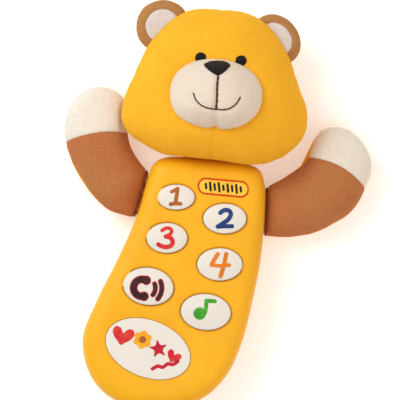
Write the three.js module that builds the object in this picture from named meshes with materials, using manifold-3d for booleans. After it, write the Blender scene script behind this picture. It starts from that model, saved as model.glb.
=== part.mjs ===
// Plush bear toy cell phone: a banana-shaped plastic handset with six push buttons,
// a stuffed bear head on its top edge and two stuffed arms sewn into slots in its sides.
// Millimetres. The phone lies on its back: +X right, +Y towards the head, +Z out of the keypad.
// The origin is on the flat back face, under the middle of the case.

import * as THREE from 'three';
import { mergeVertices } from 'three/addons/utils/BufferGeometryUtils.js';
import Module from 'manifold-3d';

const wasm = await Module();
wasm.setup();

// ---------------------------------------------------------------- driving dimensions

const GAP = 0.3;                  // between neighbours that touch or are cut by each other

// Case: closed outline through these points, anticlockwise from the bottom.
const CASE_OUTLINE = [
  [-12, -63], [9, -58.5], [22.5, -46.5], [30.8, -28.5], [36, -8], [39.9, 12],
  [41.9, 34], [42, 49], [39.4, 57], [32, 60.3], [12, 62], [-6, 63.6], [-13, 61],
  [-16.3, 54], [-22, 34.5], [-32, 12], [-42, -8], [-49.3, -28], [-44.6, -47.5], [-32, -59],
];
const OUTLINE_STEPS = 50;
const CASE_THICK = 30;
const CASE_FILLET = 7.5;          // round edge, front and back
const WALL = 2;
const PARTING_Z = 15;

// Buttons: centre, half width, half height and tilt in degrees of each oval cap.
const BUTTONS = [
  { name: '1', x: -2.4, y: 43.4, a: 9.3, b: 6.3, tilt: 0 },
  { name: '2', x: 21.9, y: 32.7, a: 10.8, b: 7.5, tilt: 0 },
  { name: '3', x: -7, y: 23, a: 10.2, b: 7.5, tilt: 0 },
  { name: '4', x: 19.4, y: 9.8, a: 11.3, b: 8.1, tilt: 0 },
  { name: 'call', x: -16.3, y: -1.2, a: 12.6, b: 9.3, tilt: -8 },
  { name: 'music', x: 12.4, y: -14, a: 12.5, b: 9, tilt: -5 },
];
const BUTTON_SIDES = 20;
const BUTTON_CLEARANCE = 0.4;
const BUTTON_RISE = 2.3;          // top of the cap above the case front
const BUTTON_FLANGE = 1.3;        // retaining rim wider than the hole
const FLANGE_TOP = 27.7;
const FLANGE_BOTTOM = 26;
const PLUNGER_BOTTOM = 24.5;

// Name plate and top badge: printed inlays sunk in the case front.
const LABEL = { x: -16.5, y: -32.4, a: 22, b: 14.2, tilt: -21 };
const BADGE = { x: 21.3, y: 48.4, a: 12.4, b: 3.9, tilt: -3.5 };
const INLAY_DEPTH = 0.8;
const INLAY_RISE = 0.7;

// Circuit board and rubber domes under the buttons.
const BOARD = { bottom: 18.7, top: 20.3, inset: 5 };
const DOME_RADIUS = 5.2;
const DOME_TOP = PLUNGER_BOTTOM - GAP;

// Case screws: from the back into posts of the front shell.
const CASE_SCREWS = [[-9.8, 55.3], [35, 53], [-39.5, -31], [20.3, -37]];
const POST = { radius: 3, bore: 1.5, bottom: 5.8 };
const SCREW = { head: 2.4, headBottom: 0.7, headTop: 2.4, tip: 13 };
const SCREW_SHANK = 1.15;
const SCREW_BOSS = { radius: 4, top: 5.4, counterbore: 2.8, hole: 1.5, floor: 2.8 };

// Battery bay: two AAA cells side by side along Y.
const CELL = { radius: 5.25, length: 44.5, z: 8, x: [-15.2, -3.6], y: -28.5 };
const BAY = { x: -9.4, y: -28.5, width: 26, length: 51, top: 15.4, wall: 1.2 };
const DOOR = { thick: 2, ledge: 1.2, counterbore: 2.7, counterboreTop: 1.1 };
const DOOR_TAB = { x: -13, y: 0.5, width: 10, length: 10, padTop: 7 };
const DOOR_SCREW = { head: 2.3, headBottom: 0.2, headTop: 0.85, tip: 8.5 };

// Loudspeaker on the inside of the back wall.
const SPEAKER = { x: 12, y: 34, radius: 14 };
const SWITCH = { x: 20, y: 8, length: 9, width: 4.4, travel: 3 };

// Slots where the soft parts enter the case.
const NECK = {
  x: 16.5, z: 15, slotWidth: 30, slotHeight: 10, pivotY: 69, notchTop: 66.8, tilt: 8,
  socketA: 11, socketB: 8,
};

// Head: half widths at heights along its own axis, which leans over the case.
const HEAD = { x: 17.6, y: 96.5, z: 30, lean: -4.5, depth: 28, skin: 1.2 };
const HEAD_PROFILE = [
  [-37.2, 4], [-36, 15], [-32.5, 27], [-27, 37], [-20.5, 43.6], [-12, 46.3], [-3, 45],
  [8, 41.3], [19, 37.2], [29, 31], [36.5, 22], [40.2, 12], [41.2, 4],
];
const HEAD_SIDES = 22;
const CHIN_CLEARANCE = 1.8;       // under the chin, above the case front

const MUZZLE = { x: 17.9, y: 94.3, a: 24, b: 17.5, z: 49, height: 17 };
const EYES = [{ name: 'left', x: 9.8, y: 113.3 }, { name: 'right', x: 29.9, y: 111.5 }];
const EYE_RADIUS = 2.7;
const EARS = [{ name: 'left', x: -9.3, y: 129.3, a: 13.3, b: 13.3 },
  { name: 'right', x: 48, y: 123, a: 13, b: 11.6 }];
const EAR = { z: 27, halfThick: 6.5, lining: 0.66, tilt: 45 };

// Arms: centre line and half widths from the slot to the paw, and the paw seam.
const ARMS = [
  {
    name: 'left', slot: [-20, 43.6], outward: [-0.963, 0.27],
    line: [[-31.4, 49.5, 12], [-35, 56, 14.6], [-39.8, 65, 15.8], [-42.2, 74, 15.6],
      [-42.6, 84, 14.6], [-42.3, 92, 10.6], [-41.8, 97.8, 3]],
    seam: [-42.5, 74], seamTurn: -5,
  },
  {
    name: 'right', slot: [42, 35.6], outward: [1, -0.02],
    line: [[55, 37.6, 13], [62.5, 41.5, 16], [71, 48, 17.3], [78.5, 56.5, 17.5],
      [82.5, 63.5, 15.8], [84.2, 70.5, 11.4], [84.9, 76.6, 3]],
    seam: [78.2, 56.6], seamTurn: -27,
  },
];
const ARM = { z: 12.6, halfThick: 11.4, fullWidth: 15, skin: 1.1, sides: 14 };
const ARM_ROOT = [[4.2, 2.2], [5.6, 4.2], [8.9, 5.4]];   // distance from the case, half width
const ARM_TAB = { inner: -6.2, outer: 3.4, width: 14, thick: 5 };

// ---------------------------------------------------------------- finishes

const FINISH = {
  yellowPlastic: { color: '#f2b02a', roughness: 0.38, metalness: 0 },
  creamPlastic: { color: '#f3ecdc', roughness: 0.35, metalness: 0 },
  inlay: { color: '#f6efe0', roughness: 0.45, metalness: 0 },
  redInlay: { color: '#c8261c', roughness: 0.45, metalness: 0 },
  blackPlastic: { color: '#26262a', roughness: 0.5, metalness: 0 },
  yellowPlush: { color: '#f6bd35', roughness: 0.95, metalness: 0 },
  brownPlush: { color: '#b97443', roughness: 0.95, metalness: 0 },
  creamPlush: { color: '#ebe2d2', roughness: 0.95, metalness: 0 },
  stuffing: { color: '#f4f4f0', roughness: 1, metalness: 0 },
  thread: { color: '#2b1c18', roughness: 0.8, metalness: 0 },
  rubber: { color: '#8b8f94', roughness: 0.9, metalness: 0 },
  board: { color: '#2c6b3c', roughness: 0.5, metalness: 0 },
  steel: { color: '#b9bcc0', roughness: 0.35, metalness: 1 },
  battery: { color: '#3f4a57', roughness: 0.4, metalness: 0.4 },
  wire: { color: '#b5281f', roughness: 0.6, metalness: 0 },
};

const phone = new THREE.Group();

function add(name, geometry, finish) {
  const mesh = new THREE.Mesh(geometry, new THREE.MeshStandardMaterial(FINISH[finish]));
  mesh.name = name;
  phone.add(mesh);
}

// ---------------------------------------------------------------- solid helpers

const radians = THREE.MathUtils.degToRad;

// Turns (u, v) by an angle in degrees and moves it to (x, y).
function turned(u, v, degrees, x = 0, y = 0) {
  const cos = Math.cos(radians(degrees));
  const sin = Math.sin(radians(degrees));
  return [x + u * cos - v * sin, y + u * sin + v * cos];
}

// Ring of points on an oval in a level plane.
function ovalRing(oval, z, grow = 0, sides = BUTTON_SIDES) {
  return Array.from({ length: sides }, (_, i) => {
    const t = (2 * Math.PI * i) / sides;
    const u = (oval.a + grow) * Math.cos(t);
    const v = (oval.b + grow) * Math.sin(t);
    return [...turned(u, v, oval.tilt ?? 0, oval.x, oval.y), z];
  });
}

// Closed solid through a stack of rings with the same number of points each.
function loft(rings) {
  const count = rings[0].length;
  const points = rings.flat();
  const index = [];
  for (let r = 0; r < rings.length - 1; r += 1) {
    for (let i = 0; i < count; i += 1) {
      const a = r * count + i;
      const b = r * count + ((i + 1) % count);
      index.push(a, b, b + count, a, b + count, a + count);
    }
  }
  for (const [ring, flip] of [[0, true], [rings.length - 1, false]]) {
    const middle = points.length;
    points.push([0, 1, 2].map((k) => rings[ring].reduce((sum, p) => sum + p[k], 0) / count));
    for (let i = 0; i < count; i += 1) {
      const a = ring * count + i;
      const b = ring * count + ((i + 1) % count);
      index.push(middle, flip ? b : a, flip ? a : b);
    }
  }
  const geometry = new THREE.BufferGeometry();
  geometry.setAttribute('position', new THREE.Float32BufferAttribute(points.flat(), 3));
  geometry.setIndex(index);
  return geometry;
}

// Round solid about a vertical line through (x, y), from [radius, z] points.
function turnedSolid(profile, x, y, sides = 16) {
  const points = profile.map(([r, z]) => new THREE.Vector2(r, z));
  return new THREE.LatheGeometry(points, sides).rotateX(Math.PI / 2).translate(x, y, 0);
}

function rod(radius, bottom, top, x, y, sides = 16) {
  return turnedSolid([[0, bottom], [radius, bottom], [radius, top], [0, top]], x, y, sides);
}

function block(x, y, z, width, length, height) {
  return new THREE.BoxGeometry(width, length, height).translate(x, y, z);
}

// Tube of the given radius along a smooth curve through the points.
function tube(points, radius, steps, sides = 6, closedCurve = null) {
  const path = closedCurve ?? new THREE.CatmullRomCurve3(points.map((p) => new THREE.Vector3(...p)));
  const section = new THREE.Shape(Array.from({ length: sides }, (_, i) => {
    const t = (2 * Math.PI * i) / sides;
    return new THREE.Vector2(radius * Math.cos(t), radius * Math.sin(t));
  }));
  return new THREE.ExtrudeGeometry(section, { steps, extrudePath: path });
}

function solid(geometry) {
  const bare = geometry.clone();
  bare.deleteAttribute('normal');
  bare.deleteAttribute('uv');
  const merged = mergeVertices(bare, 1e-4);
  const triangles = [];
  const source = merged.index.array;
  for (let i = 0; i < source.length; i += 3) {
    const [a, b, c] = source.slice(i, i + 3);
    if (a !== b && b !== c && a !== c) triangles.push(a, b, c);
  }
  const made = new wasm.Manifold(new wasm.Mesh({
    numProp: 3,
    vertProperties: new Float32Array(merged.attributes.position.array),
    triVerts: new Uint32Array(triangles),
  }));
  return made;
}

function joined(first, ...others) {
  return others.reduce((whole, other) => whole.add(other), first);
}

function cut(first, ...others) {
  return others.reduce((left, other) => left.subtract(other), first);
}

function geometryOf(manifold) {
  const mesh = manifold.getMesh();
  const geometry = new THREE.BufferGeometry();
  geometry.setAttribute('position', new THREE.BufferAttribute(mesh.vertProperties, 3));
  geometry.setIndex(new THREE.BufferAttribute(mesh.triVerts, 1));
  return geometry;
}

// ---------------------------------------------------------------- case

const outlineCurve = new THREE.CatmullRomCurve3(
  CASE_OUTLINE.map(([x, y]) => new THREE.Vector3(x, y, 0)), true, 'centripetal');

// The case outline moved inwards by inset, at height z.
function caseRing(inset, z) {
  return Array.from({ length: OUTLINE_STEPS }, (_, i) => {
    const t = i / OUTLINE_STEPS;
    const point = outlineCurve.getPointAt(t);
    const tangent = outlineCurve.getTangentAt(t);
    return [point.x - tangent.y * inset, point.y + tangent.x * inset, z];
  });
}

// Body of the case outline with both edges rounded, all of it set in by inset.
function pillow(inset, fillet) {
  const turns = (inset > 0 ? [0, 45, 90] : [0, 30, 60, 90]).map(radians);
  const bottom = turns.map((t) => caseRing(
    inset + fillet * (1 - Math.sin(t)), inset + fillet * (1 - Math.cos(t))));
  const top = turns.toReversed().map((t) => caseRing(
    inset + fillet * (1 - Math.sin(t)), CASE_THICK - inset - fillet * (1 - Math.cos(t))));
  return solid(loft([...bottom, ...top]));
}

const caseBody = pillow(0, CASE_FILLET);
const caseInside = pillow(WALL, CASE_FILLET - WALL);
const clearInside = pillow(WALL + GAP, CASE_FILLET - WALL - GAP);
const halfGap = GAP / 2;
const farOut = 400;
const aboveParting = solid(block(0, 0, PARTING_Z + halfGap + farOut / 2, farOut, farOut, farOut));
const belowParting = solid(block(0, 0, PARTING_Z - halfGap - farOut / 2, farOut, farOut, farOut));

// Slots through both shells: one for the neck and one for each arm.
const slotCuts = [solid(block(NECK.x, 62, NECK.z, NECK.slotWidth, 14, NECK.slotHeight))];
for (const arm of ARMS) {
  const slot = new THREE.BoxGeometry(14, ARM_TAB.width + 3, ARM_TAB.thick + 3);
  slot.rotateZ(Math.atan2(arm.outward[1], arm.outward[0]));
  slotCuts.push(solid(slot.translate(...arm.slot, ARM.z)));
}

function frontShell() {
  const posts = CASE_SCREWS.map(([x, y]) => solid(rod(POST.radius, POST.bottom, 28.5, x, y, 12)));
  const bores = CASE_SCREWS.map(([x, y]) => solid(rod(POST.bore, 0, 25, x, y, 12)));
  const holes = BUTTONS.map((button) => solid(loft([
    ovalRing(button, 25, BUTTON_CLEARANCE), ovalRing(button, 35, BUTTON_CLEARANCE)])));
  const pockets = [LABEL, BADGE].map((inlay) => solid(loft([
    ovalRing(inlay, CASE_THICK - INLAY_DEPTH, GAP, 28), ovalRing(inlay, 35, GAP, 28)])));
  const shell = cut(caseBody, caseInside).intersect(aboveParting);
  const rooted = caseBody.intersect(aboveParting);
  const insidePosts = posts.map((post) => joined(post.intersect(clearInside),
    post.intersect(rooted)));
  return cut(joined(shell, ...insidePosts), ...bores, ...holes, ...pockets, ...slotCuts);
}

function bayBlock(grow, bottom, top) {
  const height = top - bottom;
  return block(BAY.x, BAY.y, bottom + height / 2, BAY.width + 2 * grow, BAY.length + 2 * grow, height);
}

// The door's tab and the screw pad behind it, as a block from bottom to top.
function tabBlock(grow, bottom, top) {
  const height = top - bottom;
  return block(DOOR_TAB.x, DOOR_TAB.y, bottom + height / 2,
    DOOR_TAB.width + 2 * grow, DOOR_TAB.length + 2 * grow, height);
}

function backShell() {
  const bosses = CASE_SCREWS.map(([x, y]) => solid(rod(SCREW_BOSS.radius, 1, SCREW_BOSS.top, x, y, 12)));
  const counterbores = CASE_SCREWS.map(([x, y]) => solid(turnedSolid([
    [0, -1], [SCREW_BOSS.counterbore, -1], [SCREW_BOSS.counterbore, SCREW_BOSS.floor],
    [SCREW_BOSS.hole, SCREW_BOSS.floor], [SCREW_BOSS.hole, 8], [0, 8]], x, y, 12)));
  const grille = [[0, 0]];
  for (let i = 0; i < 6; i += 1) grille.push(turned(6.5, 0, 60 * i));
  const grilleHoles = grille.map(([u, v]) => solid(rod(1.4, -1, 3, SPEAKER.x + u, SPEAKER.y + v, 8)));
  const bay = solid(bayBlock(BAY.wall, 1, BAY.top));
  const ledge = cut(solid(bayBlock(0.1, DOOR.thick + GAP, DOOR.thick + GAP + 1)),
    solid(bayBlock(-DOOR.ledge, 0, 8)));
  const switchSlot = solid(block(SWITCH.x, SWITCH.y, 0, SWITCH.width + 1,
    SWITCH.length + SWITCH.travel, 12));
  const shell = cut(cut(caseBody, caseInside).intersect(belowParting), ...slotCuts);
  const body = joined(shell, bay, solid(tabBlock(2, 1, DOOR_TAB.padTop)), ...bosses);
  const opened = cut(body, solid(bayBlock(0, -1, BAY.top - BAY.wall)),
    solid(tabBlock(0, -1, DOOR.thick + GAP)), solid(rod(POST.bore, 0, 9, DOOR_TAB.x, DOOR_TAB.y, 12)));
  return cut(joined(opened, ledge), ...counterbores, ...grilleHoles, switchSlot);
}

function batteryDoor() {
  const plate = joined(solid(bayBlock(-GAP, 0, DOOR.thick)), solid(tabBlock(-GAP, 0, DOOR.thick)));
  const screwHole = solid(turnedSolid([[0, -1], [DOOR.counterbore, -1],
    [DOOR.counterbore, DOOR.counterboreTop], [POST.bore, DOOR.counterboreTop],
    [POST.bore, 5], [0, 5]], DOOR_TAB.x, DOOR_TAB.y, 12));
  const grips = [0, 1, 2].map((i) => solid(block(BAY.x, BAY.y - 14 - 3 * i, 0, 12, 1.2, 1.2)));
  return cut(plate, screwHole, ...grips);
}

// Self-tapping screw with its head at the back.
function screwAt(x, y, { head, headBottom, headTop, tip }) {
  return turnedSolid([[0, headBottom], [head, headBottom], [head, headTop], [SCREW_SHANK, headTop],
    [SCREW_SHANK, tip - 1], [0, tip]], x, y, 10);
}

add('front_shell', geometryOf(frontShell()), 'yellowPlastic');
add('back_shell', geometryOf(backShell()), 'yellowPlastic');
add('battery_door', geometryOf(batteryDoor()), 'yellowPlastic');
add('battery_door_screw', screwAt(DOOR_TAB.x, DOOR_TAB.y, DOOR_SCREW), 'steel');
CASE_SCREWS.forEach(([x, y], i) => add(`case_screw_${i + 1}`, screwAt(x, y, SCREW), 'steel'));

// ---------------------------------------------------------------- keypad

// Oval cap with a domed top, a retaining rim under the case front and a short plunger.
function buttonCap(button) {
  const top = CASE_THICK + BUTTON_RISE;
  const small = { ...button, a: 5, b: 4 };
  return loft([
    ovalRing(small, PLUNGER_BOTTOM),
    ovalRing(small, FLANGE_BOTTOM),
    ovalRing(button, FLANGE_BOTTOM, BUTTON_FLANGE),
    ovalRing(button, FLANGE_TOP, BUTTON_FLANGE),
    ovalRing(button, FLANGE_TOP),
    ovalRing(button, top - 1.3),
    ovalRing(button, top - 0.4, -1.2),
    ovalRing(button, top, -3.8),
  ]);
}

// Hollow conductive-rubber dome that stands on the board and lifts the button.
function rubberDome(button) {
  const foot = BOARD.top + GAP;
  return turnedSolid([[DOME_RADIUS, foot], [DOME_RADIUS, foot + 0.8], [3.4, DOME_TOP],
    [0, DOME_TOP], [0, DOME_TOP - 1.2], [2.2, DOME_TOP - 1.2], [DOME_RADIUS - 1.4, foot],
    [DOME_RADIUS, foot]], button.x, button.y, 14);
}

// The rims near the case edge are trimmed to clear its rounded inner corner.
const roundedCorner = cut(caseBody, clearInside).intersect(
  solid(block(0, 0, FLANGE_TOP - 50, farOut, farOut, 100)));

for (const button of BUTTONS) {
  const cap = cut(solid(buttonCap(button)), roundedCorner);
  add(`button_${button.name}`, geometryOf(cap), 'creamPlastic');
  add(`rubber_dome_${button.name}`, rubberDome(button), 'rubber');
}

function inlayPlate(inlay) {
  return loft([
    ovalRing(inlay, CASE_THICK - INLAY_DEPTH + 0.05, 0, 28),
    ovalRing(inlay, CASE_THICK + INLAY_RISE - 0.4, 0, 28),
    ovalRing(inlay, CASE_THICK + INLAY_RISE, -0.7, 28),
  ]);
}

add('label_plate', inlayPlate(LABEL), 'inlay');
add('badge_plate', inlayPlate(BADGE), 'redInlay');

// ---------------------------------------------------------------- electronics

function circuitBoard() {
  const board = solid(loft([caseRing(BOARD.inset, BOARD.bottom), caseRing(BOARD.inset, BOARD.top)]));
  const postHoles = CASE_SCREWS.map(([x, y]) => solid(rod(POST.radius + 0.8, 0, 30, x, y, 12)));
  return cut(board, ...postHoles, solid(block(NECK.x, 62, 20, 60, 16, 10)));
}

add('circuit_board', geometryOf(circuitBoard()), 'board');
add('sound_chip', turnedSolid([[0, 16.9], [3.6, 17.2], [5.2, 18.4], [0, 18.4]], 22, 14, 12),
  'blackPlastic');

const speakerFloor = WALL + GAP;
add('speaker_frame', turnedSolid([[SPEAKER.radius, speakerFloor], [SPEAKER.radius, 5],
  [8.4, 9], [8.4, 10.2], [7, 10.2], [7, 8.4], [SPEAKER.radius - 1.4, 4.4],
  [SPEAKER.radius - 1.4, speakerFloor], [SPEAKER.radius, speakerFloor]],
SPEAKER.x, SPEAKER.y, 20), 'steel');
add('speaker_cone', turnedSolid([[0, 4.6], [4, 5.6], [12.2, 3], [12.2, 3.6], [4, 6.4], [0, 5.2]],
  SPEAKER.x, SPEAKER.y, 16), 'blackPlastic');
add('speaker_magnet', rod(8.4, 10.5, 15.5, SPEAKER.x, SPEAKER.y, 16), 'steel');

// Sliding switch: a knob in the back slot, guided by its housing.
const switchTop = 8;
add('switch_housing', geometryOf(cut(
  solid(block(SWITCH.x, SWITCH.y, 6.2, 8.4, 17, 3.6)),
  solid(block(SWITCH.x, SWITCH.y, 4.5, SWITCH.width + 1, 12.4, 5)))), 'blackPlastic');
add('switch_knob', block(SWITCH.x, SWITCH.y - SWITCH.travel / 2, 3.2, SWITCH.width,
  SWITCH.length - 1, 6), 'blackPlastic');

// AAA cells, nose to tail, each against a coil spring at its flat end.
function cell(x, direction) {
  const half = CELL.length / 2;
  const profile = [[0, -half], [CELL.radius, -half], [CELL.radius, half - 1.2], [1.9, half - 1.2],
    [1.9, half], [0, half]].map(([r, z]) => new THREE.Vector2(r, z));
  const body = new THREE.LatheGeometry(profile, 18);
  if (direction < 0) body.rotateX(Math.PI);
  return body.translate(x, CELL.y, CELL.z);
}

class Coil extends THREE.Curve {
  constructor(x, start, end) {
    super();
    Object.assign(this, { x, start, end });
  }

  getPoint(t, target = new THREE.Vector3()) {
    const angle = 2 * Math.PI * 2.5 * t;
    const radius = 3.2 - 1.2 * t;
    return target.set(this.x + radius * Math.cos(angle),
      this.start + (this.end - this.start) * t, CELL.z + radius * Math.sin(angle));
  }
}

const springSeat = BAY.length / 2 - 1;
const springTouch = CELL.length / 2 + 0.6;
CELL.x.forEach((x, i) => {
  const direction = i === 0 ? 1 : -1;
  add(`battery_${i + 1}`, cell(x, direction), 'battery');
  const coil = new Coil(x, CELL.y - direction * springSeat, CELL.y - direction * springTouch);
  add(`battery_spring_${i + 1}`, tube([], 0.26, 22, 4, coil), 'steel');
});

// Plate that links the two cells at the top end, and the contact at the second cell's nose.
add('contact_plate', block(BAY.x, CELL.y + BAY.length / 2 - 0.45, CELL.z, 20, 0.3, 8), 'steel');
add('contact_tab', block(CELL.x[1], CELL.y - springTouch - 0.4, CELL.z, 8, 0.3, 8), 'steel');

add('speaker_lead', tube([[16, 43.5, 12.5], [20, 46.5, 14], [24, 44, 16.4], [25, 38, 17.6],
  [24.4, 33, 18]], 0.6, 12), 'wire');
add('battery_lead', tube([[-8, -2, 16.6], [-5, 2, 17], [0, 5, 17.4], [6, 6, 17.8]], 0.6, 10), 'wire');

// ---------------------------------------------------------------- head

// Oval solid of revolution stretched to three half sizes.
function ovalSolid(x, y, z, a, b, c, sides = 16, bands = 10) {
  return new THREE.SphereGeometry(1, sides, bands).rotateX(Math.PI / 2).scale(a, b, c)
    .translate(x, y, z);
}

// Stuffed head without the muzzle: oval rings along its leaning axis, all set in by inset.
function headSolid(inset = 0) {
  const widest = Math.max(...HEAD_PROFILE.map(([, width]) => width));
  const shrink = (widest - inset) / widest;
  const rings = HEAD_PROFILE.map(([height, width]) => {
    const halfWidth = width * shrink;
    const halfDepth = (HEAD.depth - inset) * (width / widest) ** 0.8;
    return Array.from({ length: HEAD_SIDES }, (_, i) => {
      const t = (-2 * Math.PI * i) / HEAD_SIDES;
      const [x, y] = turned(halfWidth * Math.cos(t), height * shrink, HEAD.lean, HEAD.x, HEAD.y);
      return [x, y, HEAD.z + halfDepth * Math.sin(t)];
    });
  });
  return solid(loft(rings));
}

// Space kept free below the head for the case top, swept over the neck's whole range.
function caseNotch(grow) {
  const low = solid(block(NECK.x, 44, 0, 120, 2 * (NECK.notchTop - 44) + 2 * grow,
    2 * (CASE_THICK + CHIN_CLEARANCE + grow)));
  return joined(low, ...[-NECK.tilt, NECK.tilt].map((angle) => low
    .translate([-NECK.x, -NECK.pivotY, 0]).rotate([0, 0, angle])
    .translate([NECK.x, NECK.pivotY, 0])));
}

const headOuter = cut(headSolid(0), caseNotch(0));
const headLarger = headSolid(-GAP);
const socket = (grow) => solid(block(NECK.x, NECK.notchTop + 2, NECK.z, 2 * (NECK.socketA + grow),
  9 + 2 * grow, 2 * (NECK.socketB + grow)));

add('head_cover', geometryOf(cut(headOuter, cut(headSolid(HEAD.skin), caseNotch(HEAD.skin)),
  socket(0))), 'yellowPlush');
add('head_stuffing', geometryOf(cut(headSolid(HEAD.skin + GAP), caseNotch(HEAD.skin + GAP),
  socket(GAP))), 'stuffing');

// Patch of fabric or thread that lies on a rounded solid: the outline drawn straight down
// onto a skin between the solid grown by GAP and by GAP plus the thickness.
function patch(outline, inner, outer) {
  const prism = solid(loft([outline.map(([x, y]) => [x, y, 20]),
    outline.map(([x, y]) => [x, y, 90])]));
  return prism.intersect(cut(outer, inner));
}

const muzzleSolid = (grow) => solid(ovalSolid(MUZZLE.x, MUZZLE.y, MUZZLE.z,
  MUZZLE.a + grow, MUZZLE.b + grow, MUZZLE.height + grow, 20, 12));
const frontOfMuzzle = solid(block(MUZZLE.x, MUZZLE.y, 70, 80, 80, 36));
add('muzzle', geometryOf(cut(muzzleSolid(0), headLarger)), 'creamPlush');

const NOSE_OUTLINE = [[11.7, 109], [14.5, 105.8], [18.4, 103.7], [21.8, 105.6], [24.3, 108.8],
  [21.5, 110.3], [18, 110.7], [14.5, 110.4]];
const SMILE_LINE = [[6.4, 94.5], [8.4, 90.6], [12.5, 87.6], [17.6, 86.9], [23.2, 86.5],
  [26.8, 88.7], [29.3, 92.2]];
const LIP_LINE = [[18.3, 102.6], [17.6, 86.9]];

// Flat band of the given width along a line of points.
function band(line, width) {
  const side = (sign) => line.map(([x, y], i) => {
    const before = line[Math.max(i - 1, 0)];
    const after = line[Math.min(i + 1, line.length - 1)];
    const run = Math.hypot(after[0] - before[0], after[1] - before[1]);
    return [x - (sign * width * (after[1] - before[1])) / run / 2,
      y + (sign * width * (after[0] - before[0])) / run / 2];
  });
  return new THREE.Shape([...side(-1), ...side(1).reverse()].map((p) => new THREE.Vector2(...p)));
}

function bandPrism(line, width) {
  return solid(new THREE.ExtrudeGeometry(band(line, width), { depth: 60, bevelEnabled: false })
    .translate(0, 0, 30));
}

const muzzleSkin = (thick) => cut(muzzleSolid(GAP + thick), muzzleSolid(GAP)).intersect(frontOfMuzzle);
add('nose_patch', geometryOf(patch(NOSE_OUTLINE, muzzleSolid(GAP), muzzleSolid(GAP + 1.2))
  .intersect(frontOfMuzzle)), 'thread');
add('mouth_stitch', geometryOf(joined(bandPrism(SMILE_LINE, 1.4), bandPrism(LIP_LINE, 1.2))
  .intersect(muzzleSkin(0.7))), 'thread');

// Embroidered eyes.
for (const eye of EYES) {
  const outline = ovalRing({ ...eye, a: EYE_RADIUS, b: EYE_RADIUS }, 0, 0, 12)
    .map(([x, y]) => [x, y]);
  add(`eye_${eye.name}`, geometryOf(cut(patch(outline, headLarger, headSolid(-GAP - 1.2)),
    muzzleSolid(GAP))), 'thread');
}

// Ears: stuffed brown discs sewn to the head, each with a cream lining on its front.
for (const ear of EARS) {
  const disc = (grow) => solid(ovalSolid(0, 0, 0, ear.a + grow, ear.b + grow,
    EAR.halfThick + grow, 18, 10)).rotate([0, 0, EAR.tilt]).translate([ear.x, ear.y, EAR.z]);
  const lining = ovalRing({ ...ear, a: ear.a * EAR.lining, b: ear.b * EAR.lining,
    tilt: EAR.tilt }, 0, 0, 18).map(([x, y]) => [x, y]);
  const linedFront = patch(lining, disc(GAP), disc(GAP + 0.7))
    .intersect(solid(block(ear.x, ear.y, EAR.z + 25, 60, 60, 50)));
  add(`ear_${ear.name}`, geometryOf(cut(disc(0), headLarger)), 'brownPlush');
  add(`ear_${ear.name}_lining`, geometryOf(cut(linedFront, headLarger)), 'creamPlush');
}

// Neck: a short stuffed fabric tube, and the plastic plate that holds its hem in the case.
function neckRing(y, a, b) {
  return Array.from({ length: 14 }, (_, i) => {
    const t = (-2 * Math.PI * i) / 14;
    return [NECK.x + a * Math.cos(t), y, NECK.z + b * Math.sin(t)];
  });
}

add('neck_sleeve', loft([neckRing(64.4, 6, 2.6), neckRing(66, 8, 5), neckRing(68, 8.6, 5.6),
  neckRing(71, 8.2, 5.2), neckRing(72.4, 6, 3.4)]), 'yellowPlush');
add('neck_anchor', geometryOf(joined(solid(block(NECK.x, 56, NECK.z, 24, 2.4, 14)),
  solid(block(NECK.x, 59, NECK.z, 14, 6, 4)))), 'blackPlastic');

// ---------------------------------------------------------------- arms

// Stuffed arm from its narrow sewn root to the paw, all set in by inset.
function armSolid(arm, inset) {
  const [slotX, slotY] = arm.slot;
  const root = ARM_ROOT.map(([out, width]) => [
    slotX + arm.outward[0] * out, slotY + arm.outward[1] * out, width]);
  const line = [...root, ...arm.line];
  const rings = line.map(([x, y, width], i) => {
    const before = line[Math.max(i - 1, 0)];
    const after = line[Math.min(i + 1, line.length - 1)];
    const run = Math.hypot(after[0] - before[0], after[1] - before[1]);
    const along = [(after[0] - before[0]) / run, (after[1] - before[1]) / run];
    const endShift = inset * (Number(i === 0) - Number(i === line.length - 1));
    const thick = ARM.halfThick * Math.min(1, width / ARM.fullWidth) ** 0.8;
    return Array.from({ length: ARM.sides }, (_, k) => {
      const t = (2 * Math.PI * k) / ARM.sides;
      const across = Math.max(width - inset, 0.6) * Math.cos(t);
      const up = Math.max(thick - inset, 0.6) * Math.sin(t);
      return [x + along[0] * endShift - along[1] * across,
        y + along[1] * endShift + along[0] * across, ARM.z + up];
    });
  });
  return solid(loft(rings));
}

// Fabric tab clamped in the case slot by a bar on its inner end.
function armTab(arm) {
  const length = ARM_TAB.outer - ARM_TAB.inner;
  const tab = joined(
    solid(block((ARM_TAB.outer + ARM_TAB.inner) / 2, 0, 0, length, ARM_TAB.width, ARM_TAB.thick)),
    solid(block(ARM_TAB.inner, 0, 0, 2.4, ARM_TAB.width + 5, 11)));
  const turn = (Math.atan2(arm.outward[1], arm.outward[0]) * 180) / Math.PI;
  return tab.rotate([0, 0, turn]).translate([...arm.slot, ARM.z]);
}

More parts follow.
